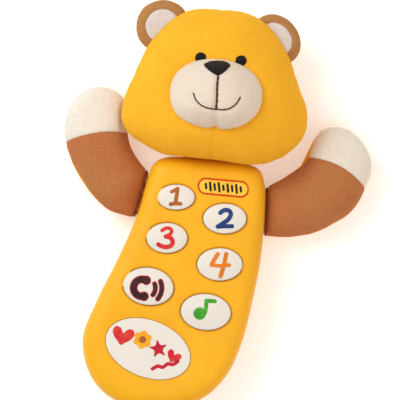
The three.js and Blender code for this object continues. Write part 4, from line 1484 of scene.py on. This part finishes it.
EYE_RADIUS = 2.7
EYE_DROPS = {"left": 0.7, "right": 0.4}       # how far each eye sits below its CAD node
for side in ("left", "right"):
    middle = centre_mm(f"eye_{side}")
    loop = circle(middle.x, middle.y - EYE_DROPS[side], EYE_RADIUS, 40)
    eye = satin_patch(f"eye_{side}_satin", loop, brow_skin, 0.5, 1.25, 0.36)
    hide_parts(f"eye_{side}")
    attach(eye, "head")

# ---------------------------------------------------------------- buttons and printed plates


def stacked(name, rings, material):
    """Closed form through flat outlines, each (loop, z), from the bottom up."""
    count = len(rings[0][0])
    points, faces = [], []
    for loop, z in rings:
        add_ring(points, loop, z)
    for r in range(len(rings) - 1):
        bridge(faces, r * count, (r + 1) * count, count)
    faces.append(tuple(range(count))[::-1])
    middle = np.mean(rings[-1][0], axis=0)
    points.append((*middle, rings[-1][1]))
    last = (len(rings) - 1) * count
    faces += [(last + i, last + (i + 1) % count, len(points) - 1) for i in range(count)]
    return make_object(name, mesh_from(name, points, faces), material)


FLANGE_LOW_Z, FLANGE_TOP_Z = 26.0, 27.7
FLANGE_WIDTH = 0.78       # how far the flange stands out round the cap
STEM_LOW_Z = 24.5
STEM_HALF = (5.0, 4.0)
BUTTON_EDGE_Z = CASE_TOP_Z + 0.75
BUTTON_TOP_Z = CASE_TOP_Z + BUTTON_RISE


def button_cap(key):
    """Push button: stem, flange under the shell, rounded edge and domed top."""
    x, y = centre_xy(f"button_{key}")
    half_w, half_h, tilt = BUTTONS[key]

    def oval(grow):
        return oval_ring(x, y, half_w, half_h, tilt, grow)

    stem = oval_ring(x, y, *STEM_HALF, tilt)
    rings = [(stem, STEM_LOW_Z), (stem, FLANGE_LOW_Z),
             (oval(FLANGE_WIDTH), FLANGE_LOW_Z + 0.01), (oval(FLANGE_WIDTH), FLANGE_TOP_Z),
             (oval(0), FLANGE_TOP_Z + 0.01), (oval(0), BUTTON_EDGE_Z)]
    for i in range(1, 7):
        t = math.pi / 2 * i / 7
        rings.append((oval(-0.9 * (1 - math.cos(t))), BUTTON_EDGE_Z + 0.75 * math.sin(t)))
    low = rings[-1][1]
    for i in range(1, 11):
        share = i / 10
        rings.append((oval(-0.75 - (half_h - 0.9) * share),
                      low + (BUTTON_TOP_Z - low) * (1 - (1 - share) ** 2.2)))
    return crisp(stacked(f"button_{key}_cap", rings, CREAM))


STROKE_WEIGHT = 1.15      # how much wider than its given radius a stroke is printed


def stroke(points, radius):
    """Signed depth inside a round-ended brush stroke; positive inside, in mm."""
    path = smooth_open(points, 30) if len(points) > 2 else np.array(points, float)
    return lambda p: radius * STROKE_WEIGHT - distance_to_line(p, path)[0]


def blob(x, y, radius):
    """Signed depth inside a disc."""
    return lambda p: radius - np.hypot(p[:, 0] - x, p[:, 1] - y)


def joined(*fields):
    """The union of printed shapes."""
    return lambda p: np.max([f(p) for f in fields], axis=0)


def grown(field, amount):
    """A printed shape grown by amount mm."""
    return lambda p: field(p) + amount


def print_on(name, surface, box, field, ink, lift=0.1, spacing=0.3):
    """Printed shape: a thin raised layer that follows the surface under it."""
    x0, y0, x1, y1 = box
    across, up = round((x1 - x0) / spacing) + 1, round((y1 - y0) / spacing) + 1
    points = []
    for y in np.linspace(y0, y1, up):
        for x in np.linspace(x0, x1, across):
            points.append((x, y, surface.height(x, y) + lift))
    faces = [(r * across + c, r * across + c + 1, (r + 1) * across + c + 1, (r + 1) * across + c)
             for r in range(up - 1) for c in range(across - 1)]
    sheet = make_object(name + "_sheet", mesh_from(name, points, faces), ink)
    cut_by(sheet, lambda p: field(p[:, :2]))
    layer = panel(sheet, name, lambda p: field(p[:, :2]) > 0, ink, lift + 0.12)
    bpy.data.objects.remove(sheet)
    return layer


def around(field_points, margin):
    """Box round some points, margin mm wider."""
    xs, ys = [p[0] for p in field_points], [p[1] for p in field_points]
    return min(xs) - margin, min(ys) - margin, max(xs) + margin, max(ys) + margin


def arc(x, y, radius, start, end, count):
    """Points on an arc from start to end degrees."""
    return [(x + radius * math.cos(t), y + radius * math.sin(t))
            for t in np.radians(np.linspace(start, end, count))]


HANDSET_X, HANDSET_Y = -19.4, -1.9
handset_arc = arc(HANDSET_X, HANDSET_Y, 4.3, 62, 282, 12)
ring_waves = [arc(HANDSET_X + 1.2, HANDSET_Y, radius, -40, 22, 9) for radius in (5.4, 8.6)]
# The print on each button: corners of the box it fills, and its shape.
MARKS = {
    "1": ([(-5.2, 39.9), (-0.3, 47.8)], joined(
        stroke([(-4.7, 46.1), (-2.9, 47.0), (-1.7, 47.7)], 0.75),
        stroke([(-1.7, 47.7), (-2.2, 44.0), (-2.8, 40.5)], 0.8),
        stroke([(-5.2, 39.9), (-2.7, 40.3), (-0.3, 40.1)], 0.8))),
    "2": ([(18.4, 28.7), (25.5, 37.0)], joined(
        stroke([(19.7, 35.6), (21.1, 36.7), (23.0, 37.0), (24.6, 36.1), (24.8, 34.4),
                (23.6, 32.3), (21.1, 30.4), (18.4, 28.7)], 0.95),
        stroke([(18.4, 28.7), (21.7, 28.9), (25.5, 28.9)], 0.9))),
    "3": ([(-11.3, 18.5), (-4.2, 27.9)], joined(
        stroke([(-9.5, 26.8), (-7.8, 27.8), (-5.8, 27.9), (-4.7, 26.8), (-5.2, 25.2),
                (-7.6, 23.8)], 0.75),
        stroke([(-7.6, 23.8), (-5.2, 23.1), (-4.2, 21.3), (-4.9, 19.3), (-7.5, 18.5),
                (-9.7, 18.9), (-11.3, 19.8)], 0.95))),
    "4": ([(15.2, 3.6), (24.1, 15.0)], joined(
        stroke([(18.4, 15.0), (16.7, 12.4), (15.2, 9.6)], 0.85),
        stroke([(15.2, 9.6), (19.5, 9.1), (24.1, 9.5)], 0.8),
        stroke([(22.6, 15.0), (21.5, 9.7), (19.7, 3.9)], 0.9))),
    "call": (handset_arc + ring_waves[1], joined(
        stroke(handset_arc, 1.35), blob(*handset_arc[0], 2.0), blob(*handset_arc[-1], 2.0),
        stroke(ring_waves[0], 0.75), stroke(ring_waves[1], 0.8))),
    "music": ([(6.2, -17.8), (16.9, -8.0)], joined(
        blob(9.3, -14.7, 3.1), stroke([(12.0, -14.2), (12.5, -11.2), (12.7, -8.3)], 0.85),
        stroke([(12.6, -8.4), (14.8, -8.4), (16.9, -8.6)], 0.85))),
}

for key in BUTTONS:
    cap = button_cap(key)
    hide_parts(f"button_{key}")
    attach(cap, f"button_{key}")
    dome = Surface(cap)
    corners, field = MARKS[key]
    layers = [(f"button_{key}_print", field, INKS[key], 0.16)]
    if key == "call":
        layers.append(("button_call_print_edge", grown(field, 0.42), INKS["outline"], 0.08))
    for name, shape, ink, lift in layers:
        layer = print_on(name, dome, around(corners, 3.2), shape, ink, lift)
        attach(layer, f"button_{key}")


def plate(name, loop_at, top, material):
    """Inlay with a rounded edge and a faint crown, let into its pocket."""
    rings = [(loop_at(0), CASE_TOP_Z - 0.75), (loop_at(0), top - 0.5)]
    for i in range(1, 6):
        t = math.pi / 2 * i / 5
        rings.append((loop_at(-0.5 * (1 - math.cos(t))), top - 0.5 + 0.4 * math.sin(t)))
    rings.append((loop_at(-2.2), top - 0.03))
    rings.append((loop_at(-3.6), top))
    return crisp(stacked(name, rings, material))


label = plate("label_plate_skin", lambda grow: oval_loop("label_plate", LABEL, grow, 120),
              CASE_TOP_Z + 0.7, INLAY_WHITE)


def badge_loop(grow):
    """The badge's outline with evenly spaced points, grown by grow mm."""
    return [tuple(p) for p in smooth_closed(capsule_loop(BADGE_ENDS, BADGE_RADIUS + grow), 110)]


badge = plate("badge_plate_skin", badge_loop, CASE_TOP_Z + 0.7, RED_FILM)
for obj, node, slot in ((label, "label_plate", "printed_inlay"), (badge, "badge_plate", "red_inlay")):
    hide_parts(node)
    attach(obj, "case")

HEART = [(-0.05, 0.7), (-1.5, 2.6), (-3.6, 2.9), (-4.6, 1.0), (-3.6, -1.2), (-1.6, -3.0), (0.0, -4.3),
         (1.6, -3.0), (3.6, -1.2), (4.6, 1.0), (3.6, 2.9), (1.5, 2.6)]


def outline_field(points, x, y, scale, turn):
    """Inside of a smooth closed outline placed at (x, y)."""
    u, v = (smooth_closed(points, 90) * scale).T
    cos, sin = math.cos(math.radians(turn)), math.sin(math.radians(turn))
    loop = np.stack([u * cos - v * sin + x, u * sin + v * cos + y], 1)
    closed = np.vstack([loop, loop[:1]])

    def field(p):
        gap, _ = distance_to_line(p, closed)
        inside = np.zeros(len(p), bool)
        for (ax, ay), (bx, by) in zip(closed, closed[1:]):
            crosses = ((ay > p[:, 1]) != (by > p[:, 1]))
            inside ^= crosses & (p[:, 0] < (bx - ax) * (p[:, 1] - ay) / (by - ay + 1e-12) + ax)
        return np.where(inside, gap, -gap)
    return field


def star(points, inner):
    """Outline of a star whose points reach 1 and whose notches reach inner."""
    return [(r * math.sin(t), r * math.cos(t)) for r, t in
            ((1.0 if i % 2 == 0 else inner, math.pi * i / points) for i in range(points * 2))]


def petals(x, y, reach, radius, count=6):
    """A ring of discs round a middle."""
    return joined(*[blob(x + reach * math.cos(t), y + reach * math.sin(t), radius)
                    for t in (2 * math.pi * (i + 0.3) / count for i in range(count))])


label_face, badge_face = Surface(label), Surface(badge)
WAVE = [(-14.3, -42.4), (-11.6, -41.0), (-9.2, -41.6), (-6.6, -39.9), (-4.0, -40.2), (-1.6, -38.6)]
FLOWER = (-19.2, -27.8)
# What is printed on the label: name, ink, shape, the box it fills and its height.
LABEL_PRINTS = [
    ("heart", "3", outline_field(HEART, -29.0, -25.4, 1.2, -14), (-36, -33, -22, -19), 0.12),
    ("petals", "gold", petals(*FLOWER, 2.9, 1.75), (-25, -34, -13, -22), 0.12),
    ("petal_heart", "1", blob(*FLOWER, 1.75), (-22, -31, -16, -25), 0.18),
    ("star", "outline", outline_field(star(5, 0.5), -11.3, -32.4, 4.5, 8), (-17, -38, -6, -27), 0.12),
    ("small_heart", "3", outline_field(HEART, -3.6, -36.0, 0.8, -30), (-9, -41, 1, -31), 0.12),
    ("wave", "outline", stroke(WAVE, 0.75), (-17, -45, 1, -37), 0.12),
]
for name, ink, field, box, lift in LABEL_PRINTS:
    layer = print_on(f"label_{name}", label_face, box, field, INKS[ink], lift)
    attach(layer, "case")

(bx0, by0), (bx1, by1) = BADGE_ENDS
fill = stroke([(bx0, by0), (bx1, by1)], BADGE_RADIUS - 1.0)
# Where along the badge each bar stands, and half its length.
BADGE_BARS = [(0.0, 1.1), (0.125, 1.9), (0.25, 1.4), (0.375, 2.1), (0.5, 1.0), (0.625, 1.8),
              (0.75, 1.3), (0.875, 2.0), (1.0, 1.1)]


def on_badge(share, side):
    """A point at a share of the badge's length and side mm off its middle line."""
    return bx0 + (bx1 - bx0) * share - side * 0.09, by0 + (by1 - by0) * share + side


bars = joined(*[stroke([on_badge(share, -tall), on_badge(share, tall)], 0.5)
                for share, tall in BADGE_BARS])
badge_box = around(BADGE_ENDS, 5)
badge_prints = [("badge_fill", "badge", fill, 0.08), ("badge_bars", "black", bars, 0.15)]
for name, ink, field, lift in badge_prints:
    layer = print_on(name, badge_face, badge_box, field, INKS[ink], lift)
    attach(layer, "case")

# ---------------------------------------------------------------- ears and neck

EAR_Z = 27.0
# Middle, radius, flattening along the way out, and size of the lining.
EAR_SHAPES = {"left": ((-9.2, 129.0), 13.5, 0.98, 0.645), "right": ((47.5, 122.3), 13.8, 0.84, 0.66)}
EAR_BASE = 6.0            # how far the ear reaches inwards from its middle, into the head
EAR_PUFF = 5.4
EAR_NOISE_SEEDS = {"left": 4.4, "right": 8.8}


def ear_point(side, s, t, height):
    """Point of an ear: s from its middle to its edge, t round it, height to the front."""
    (x, y), radius, flat, _ = EAR_SHAPES[side]
    out = Vector((x - HEAD_CENTRE.x, y - HEAD_CENTRE.y)).normalized()
    u, v = radius * flat * s * math.cos(t), radius * s * math.sin(t)
    u = max(u, -EAR_BASE)
    lean = -0.09 * (u + EAR_BASE)
    return (x + out.x * u - out.y * v, y + out.y * u + out.x * v, EAR_Z + height + lean)


def ear_height(side, s):
    """Front of an ear: a puffed rim, a seam round the lining and a dish inside it."""
    lining = EAR_SHAPES[side][3]
    rim = EAR_PUFF * max(0.0, 1 - s ** 3.2) ** 0.55
    dish = 1.3 * max(0.0, 1 - (s / lining) ** 2) if s < lining else 0.0
    return rim - dish - 0.9 * math.exp(-((s - lining) / 0.045) ** 2)


def lining_height(side, s):
    """Front of an ear's lining: a thin pad on the dish."""
    lining = EAR_SHAPES[side][3]
    return ear_height(side, s) + 0.55 * max(0.0, 1 - (s / lining) ** 8) ** 0.5 + 0.12


def cup_rings(side, shares, height, sides=88):
    """Rings of an ear at the given shares of the way from its middle to its edge."""
    return [[ear_point(side, s, 2 * math.pi * k / sides, height(s)) for k in range(sides)]
            for s in shares]


for side in ("left", "right"):
    lining = EAR_SHAPES[side][3]
    front = [0.04, 0.15, 0.3, 0.45, 0.55, lining - 0.04, lining, lining + 0.04, 0.76, 0.83, 0.89,
             0.94, 0.975, 0.995]
    back = [0.995, 0.97, 0.93, 0.86, 0.76, 0.62, 0.45, 0.25, 0.04]
    rings = cup_rings(side, front, lambda s: ear_height(side, s))
    rings += cup_rings(side, back, lambda s: -EAR_PUFF * 0.9 * max(0.0, 1 - s ** 2.6) ** 0.5)
    ear = tube_mesh(f"ear_{side}_skin", rings, EAR_PLUSH)
    refine(ear)
    soft_noise(ear, 8, 0.3, EAR_NOISE_SEEDS[side])
    soft_noise(ear, 3, 0.08, 2.2)
    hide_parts(f"ear_{side}")
    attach(ear, "head")
    patch = [lining * k for k in (0.05, 0.2, 0.38, 0.56, 0.74, 0.88, 0.95, 0.985)]
    rings = cup_rings(side, patch, lambda s: lining_height(side, s), 72)
    rings += cup_rings(side, patch[::-1], lambda s: ear_height(side, s) - 0.25, 72)
    cover = tube_mesh(f"ear_{side}_lining_skin", rings, LINING_PLUSH)
    refine(cover)
    soft_noise(cover, 3, 0.1, 6.1)
    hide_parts(f"ear_{side}_lining")
    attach(cover, "head")

NECK_X, NECK_Z = 16.5, 15.0
# Height along Y, half width and half depth of the gathered sleeve.
NECK_RINGS = [
    (58.0, 14.6, 4.6), (60.0, 14.8, 4.8), (61.6, 15.0, 5.0), (62.6, 15.4, 5.6), (63.6, 16.0, 6.6),
    (64.6, 16.2, 7.4), (65.8, 16.8, 8.2), (67.2, 17.2, 8.8), (69.0, 17.0, 9.0), (71.0, 15.0, 8.0),
]
rings = []
for y, half_w, half_d in smooth_open(NECK_RINGS, 30):
    fold = 0.9 * math.exp(-((y - 64.2) / 2.6) ** 2)
    square = 0.5 + 0.4 * min(1, max(0, (y - 61.5) / 5))
    ring = []
    for k in range(144):
        t = 2 * math.pi * k / 144
        wave = 1 - fold * (0.5 + 0.5 * math.sin(t * 26 + 1.3 * math.sin(t * 3))) / half_d
        across = squared(math.cos(t), square) * wave
        up = squared(math.sin(t), square) * wave
        ring.append((NECK_X + half_w * across, y, NECK_Z + half_d * up))
    rings.append(ring)
neck = tube_mesh("neck_sleeve_skin", rings, YELLOW_PLUSH)
soft_noise(neck, 5, 0.2, 1.1)
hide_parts("neck_sleeve")
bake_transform(neck)

# ---------------------------------------------------------------- battery door, screws and switch


DOOR_THICKNESS = 1.9
# The door's edge, from its inside down and round to its face: how much it is grown, and z.
DOOR_EDGE = [(0.0, DOOR_THICKNESS), (0.0, 0.5), (-0.08, 0.2), (-0.3, 0.0)]
# The screw recess, from the face inwards: how much its circle is grown, and z.
DOOR_RECESS = [(0.35, 0.0), (0.1, 0.1), (0.0, 0.35), (0.0, 1.0), (-1.75, 1.05), (-1.75, DOOR_THICKNESS)]


def door_plate():
    """Door with rounded edges and a screw recess, face down at z 0."""
    count = len(door_loop(0.0))
    points, faces = [], []
    loops = [resample_to(door_loop(grow), count) for grow, _ in DOOR_EDGE]
    firsts = [add_ring(points, loop, z) for loop, (_, z) in zip(loops, DOOR_EDGE)]
    for a, b in zip(firsts, firsts[1:]):
        bridge(faces, a, b, count)
    recess = circle(*centre_xy("battery_door_screw"), 3.1)
    steps = [add_ring(points, loop_offset(recess, grow), z) for grow, z in DOOR_RECESS]
    for a, b in zip(steps, steps[1:]):
        bridge(faces, a, b, len(recess), flip=True)
    wide, narrow = (loop_offset(recess, DOOR_RECESS[i][0]) for i in (0, -1))
    face_with_holes(points, faces, (firsts[-1], loops[-1]), [(steps[0], wide)], 0.0, False)
    face_with_holes(points, faces, (firsts[0], loops[0]), [(steps[-1], narrow)],
                    DOOR_THICKNESS, True)
    return make_object("battery_door_skin", mesh_from("battery_door_skin", points, faces), DOOR_YELLOW)


def resample_to(loop, count):
    """count points evenly spaced along a closed loop."""
    loop = np.array(loop)
    closed = np.vstack([loop, loop[:1]])
    along = np.concatenate([[0], np.cumsum(np.linalg.norm(np.diff(closed, axis=0), axis=1))])
    wanted = np.linspace(0, along[-1], count, endpoint=False)
    return np.stack([np.interp(wanted, along, closed[:, k]) for k in (0, 1)], 1)


def raised_rib(points, faces, x0, x1, y, z_root, height, radius=0.7):
    """Rounded bar on a downward face."""
    rings = []
    for share in np.linspace(0, 1, 9):
        x = x0 + (x1 - x0) * share
        swell_share = math.sin(math.pi * min(max(share, 0.03), 0.97)) ** 0.25
        rings.append([(x, y + radius * swell_share * math.cos(2 * math.pi * k / 14),
                       z_root - height * swell_share * max(math.sin(2 * math.pi * k / 14), -0.2))
                      for k in range(14)])
    add_rings(points, faces, rings)


RIB_X, RIB_TOP_Y, RIB_PITCH = -9.4, -8.0, 2.6     # thumb ribs, shorter towards the foot
door = door_plate()
points, faces = [], []
for i in range(6):
    half = 7.0 - 0.5 * i
    raised_rib(points, faces, RIB_X - half, RIB_X + half, RIB_TOP_Y - RIB_PITCH * i, 0.1, 0.3)
ribs = consistent(make_object("battery_door_ribs", mesh_from("ribs", points, faces), DOOR_YELLOW))
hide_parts("battery_door")
for obj in (door, ribs):
    crisp(obj)
    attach(obj, "battery_door")


def screw(node, shank):
    """Cross-recessed pan-head screw, head down; the thread is a real helix of ridges."""
    low, high = box_mm(node)
    x, y = centre_xy(node)
    radius = (high.x - low.x) / 2
    head_top = low.z + min(1.7, (high.z - low.z) * 0.16 + 0.35)
    profile = [(radius * 0.55, low.z), (radius * 0.82, low.z + 0.12), (radius * 0.97, low.z + 0.38),
               (radius, low.z + 0.5), (radius, head_top), (shank, head_top + 0.01)]
    sides = 40
    rings = [at_height(circle(x, y, r, sides), z) for r, z in profile]
    length, pitch = high.z - 1.2 - head_top, 1.0
    turns = max(3, int(length / pitch * 4))
    for i in range(1, turns + 1):
        z = head_top + length * i / turns
        ring = []
        for k in range(sides):
            t = 2 * math.pi * k / sides
            phase = (z / pitch + k / sides) % 1.0
            r = shank * (0.78 + 0.3 * max(0.0, 1 - abs(phase - 0.5) * 3.2))
            ring.append((x + r * math.cos(t), y + r * math.sin(t), z))
        rings.append(ring)
    tip = [(shank * 0.6, high.z - 0.6), (0.12, high.z)]
    rings += [at_height(circle(x, y, r, sides), z) for r, z in tip]
    obj = tube_mesh(f"{node}_steel", rings, STEEL)
    for turn in (35, 125):
        cut_away(obj, [((x, y, low.z), (radius * 1.15, radius * 0.3, 1.1), turn)])
    return obj


SCREWS = [(f"case_screw_{i}", "case", 1.3) for i in range(1, 5)]
SCREWS.append(("battery_door_screw", "battery_door_screw", 1.15))
for node, body, shank in SCREWS:
    obj = crisp(screw(node, shank))
    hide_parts(node)
    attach(obj, body)


def knob_form():
    """The slide switch's knob and the grips across it, face down."""
    low, high = box_mm("switch_knob")
    rings = []
    for grow, z in ((0.0, high.z), (0.0, low.z + 0.9), (-0.15, low.z + 0.6), (-0.5, low.z + 0.45)):
        rings.append((rounded_box(low.x - grow, low.y - grow, high.x + grow, high.y + grow, 0.7), z))
    loop_count = len(resample(rings[0][0], 0.5))
    rings = [(resample_to(loop, loop_count), z) for loop, z in rings]
    body = consistent(stacked("switch_knob_form", rings, BLACK))
    points, faces = [], []
    for i in range(5):
        grip_y = low.y + 1.3 + 1.35 * i
        raised_rib(points, faces, low.x + 0.5, high.x - 0.5, grip_y, low.z + 0.5, 0.45, 0.4)
    grips = make_object("switch_knob_grips", mesh_from("grips", points, faces), BLACK)
    return body, consistent(grips)


knob_body, knob_grips = knob_form()
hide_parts("switch_knob")
for obj in (knob_body, knob_grips):
    crisp(obj)
    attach(obj, "switch_knob")

# ---------------------------------------------------------------- rubber domes

# Radius and height above the foot, from the hollow's middle round the foot and over the crown.
DOME_PROFILE = [
    (0.05, 1.95), (1.9, 1.95), (2.05, 2.05), (2.1, 2.5), (2.7, 2.4), (3.2, 1.9), (3.7, 1.2), (3.95, 0.7),
    (3.95, 0.0), (5.1, 0.0), (5.2, 0.1), (5.2, 0.68), (5.1, 0.8), (4.8, 0.86), (4.62, 1.1), (4.3, 1.75),
    (3.9, 2.35), (3.5, 2.75), (3.3, 2.95), (3.25, 3.42), (3.1, 3.58), (1.8, 3.6), (1.6, 3.45), (0.05, 3.45),
]


def rubber_dome(key):
    """Hollow rubber dome under its button, in its resting shape."""
    low, _ = box_mm(f"rubber_dome_{key}")
    x, y = centre_xy(f"rubber_dome_{key}")
    rings = [at_height(circle(x, y, radius, 48), low.z + rise) for radius, rise in DOME_PROFILE]
    dome = tube_mesh(f"rubber_dome_{key}_skin", rings, KEY_RUBBER)
    crisp(dome, 50)
    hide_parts(f"rubber_dome_{key}")
    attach(dome, "case")
    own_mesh(dome)


# ---------------------------------------------------------------- finishes of the working parts


def laminate(name, hex_colour):
    """Circuit board: solder mask over copper runs, with pads and a fine glass weave."""
    base = linear(hex_colour)
    material, tree, shader = new_material(name, base, 0.35, Coat_Weight=0.3)
    coords = object_coords(tree)
    runs = add_node(tree, "ShaderNodeTexBrick", Scale=210)
    runs.inputs["Mortar Size"].default_value = 0.06
    runs.inputs["Color1"].default_value = (*base, 1)
    runs.inputs["Color2"].default_value = (*shade(base, 1.35), 1)
    runs.inputs["Mortar"].default_value = (*linear("#6f9a3f"), 1)
    tree.links.new(coords, runs.inputs["Vector"])
    pads = add_node(tree, "ShaderNodeTexVoronoi", Scale=260)
    tree.links.new(coords, pads.inputs["Vector"])
    solder = ramp(tree, pads.outputs["Distance"], [(0.16, (0.75, 0.75, 0.72)), (0.2, (0, 0, 0))])
    mix = add_node(tree, "ShaderNodeMix", data_type="RGBA", blend_type="ADD")
    mix.inputs[0].default_value = 0.7
    tree.links.new(runs.outputs["Color"], mix.inputs[6])
    tree.links.new(solder, mix.inputs[7])
    tree.links.new(mix.outputs[2], shader.inputs["Base Color"])
    bump_chain(tree, shader, [
        (runs.outputs["Fac"], 0.4, 0.05 * MM),
        (pads.outputs["Distance"], 0.2, 0.05 * MM),
    ])
    return material


def banded(name, stops, scale, roughness=0.35):
    """Printed sleeve whose colour changes along the part's length, with fine scratches."""
    material, tree, shader = new_material(name, stops[0][1], roughness, Coat_Weight=0.25)
    coords = object_coords(tree)
    wave = add_node(tree, "ShaderNodeTexWave", Scale=scale, Distortion=0.3)
    wave.bands_direction = "Y"
    tree.links.new(coords, wave.inputs["Vector"])
    tree.links.new(ramp(tree, wave.outputs["Fac"], stops), shader.inputs["Base Color"])
    bump_chain(tree, shader, [(noise_value(tree, coords, 900, 4), 0.25, 0.04 * MM)])
    return material


def fibrous(name, hex_colour, scale=900):
    """Pressed paper or rubber with a matt, slightly fibrous surface."""
    base = linear(hex_colour)
    material, tree, shader = new_material(name, base, 0.85, Specular_IOR_Level=0.25)
    coords = object_coords(tree)
    fibres = noise_value(tree, coords, scale, 6, 0.75)
    tree.links.new(ramp(tree, fibres, [(0.3, shade(base, 0.7)), (0.7, shade(base, 1.3))]),
                   shader.inputs["Base Color"])
    bump_chain(tree, shader, [(fibres, 0.5, 0.08 * MM)])
    return material


LAMINATE = laminate("circuit_green", "#1f5a2c")
EPOXY = moulded_plastic("chip_epoxy", "#18191c", roughness=0.55, mottle=0.12)
CONE_PAPER = fibrous("cone_paper", "#2b2a2a")
FERRITE = fibrous("magnet_ferrite", "#4a4a4e", 500)
KEY_RUBBER = fibrous("key_rubber", "#8f9396", 1500)
CELL_BANDS = [(0.2, linear("#2b5f8f")), (0.45, linear("#d8dde2")), (0.7, linear("#1d4169"))]
CELL_WRAP = banded("cell_wrap", CELL_BANDS, 14)
RED_LEAD = moulded_plastic("lead_red", "#b3261e", roughness=0.5, mottle=0.1)
TINNED = worn_metal("tinned_steel", "#b9b6ae", 0.3)
NODE_FINISHES = {
    "circuit_board": LAMINATE, "sound_chip": EPOXY, "speaker_frame": STEEL, "speaker_cone": CONE_PAPER,
    "speaker_magnet": FERRITE, "switch_housing": BLACK, "neck_anchor": BLACK,
    "battery_1": CELL_WRAP, "battery_2": CELL_WRAP, "battery_spring_1": TINNED,
    "battery_spring_2": TINNED, "contact_plate": TINNED, "contact_tab": TINNED,
    "speaker_lead": RED_LEAD, "battery_lead": RED_LEAD,
}
for node, finish in NODE_FINISHES.items():
    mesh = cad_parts[node].data
    mesh.materials.clear()
    mesh.materials.append(finish)
for key in BUTTONS:
    rubber_dome(key)

# ---------------------------------------------------------------- stage, light and camera

LOOK_AT = (9.5, 42.0, 30.0)
CAMERA_DISTANCE = 3000.0
FLOOR_Z = -0.3
FLOOR_GLOW = 0.28         # light table under the paper: keeps the shadows pale
CAMERA_LENS = 540.0       # long lens: half a millimetre to a picture element at 400 across
scene = bpy.context.scene
scene.view_settings.view_transform = "Standard"

bm = bmesh.new()
bmesh.ops.create_grid(bm, x_segments=1, y_segments=1, size=2.0)
floor = make_object("floor", bm, smooth=False)
floor.location.z = FLOOR_Z * MM
paper, paper_tree, paper_shader = new_material("floor_paper", (0.93, 0.93, 0.935), 0.8)
grain = noise_value(paper_tree, object_coords(paper_tree), 900, 3)
bump_chain(paper_tree, paper_shader, [(grain, 0.1, 0.03 * MM)])
paper_shader.inputs["Emission Color"].default_value = (1, 1, 1, 1)
paper_shader.inputs["Emission Strength"].default_value = FLOOR_GLOW
floor.data.materials.append(paper)

lens = bpy.data.cameras.new("camera")
lens.lens = CAMERA_LENS
lens.sensor_width = 36
lens.clip_end = 10
camera = bpy.data.objects.new("camera", lens)
scene.collection.objects.link(camera)
camera.location = (LOOK_AT[0] * MM, LOOK_AT[1] * MM, (LOOK_AT[2] + CAMERA_DISTANCE) * MM)
scene.camera = camera


def softbox(name, place, size, power, colour=(1, 1, 1)):
    """Square area light at a place in metres, aimed at the toy."""
    light = bpy.data.lights.new(name, "AREA")
    light.size = size
    light.energy = power
    light.color = colour
    obj = bpy.data.objects.new(name, light)
    scene.collection.objects.link(obj)
    obj.location = place
    aim = Vector(LOOK_AT) * MM - Vector(place)
    obj.rotation_euler = aim.to_track_quat("-Z", "Y").to_euler()


softbox("key", (-0.48, 0.42, 0.66), 0.6, 4.9, (0.9, 0.975, 1))
softbox("fill", (0.5, -0.2, 0.6), 0.8, 1.85, (1, 0.8, 0.66))
softbox("top", (0.0, 0.1, 0.95), 0.8, 1.2)
world = bpy.data.worlds.new("world")
world.use_nodes = True
world.node_tree.nodes["Background"].inputs[0].default_value = (1, 0.97, 0.93, 1)
world.node_tree.nodes["Background"].inputs[1].default_value = 0.52
scene.world = world
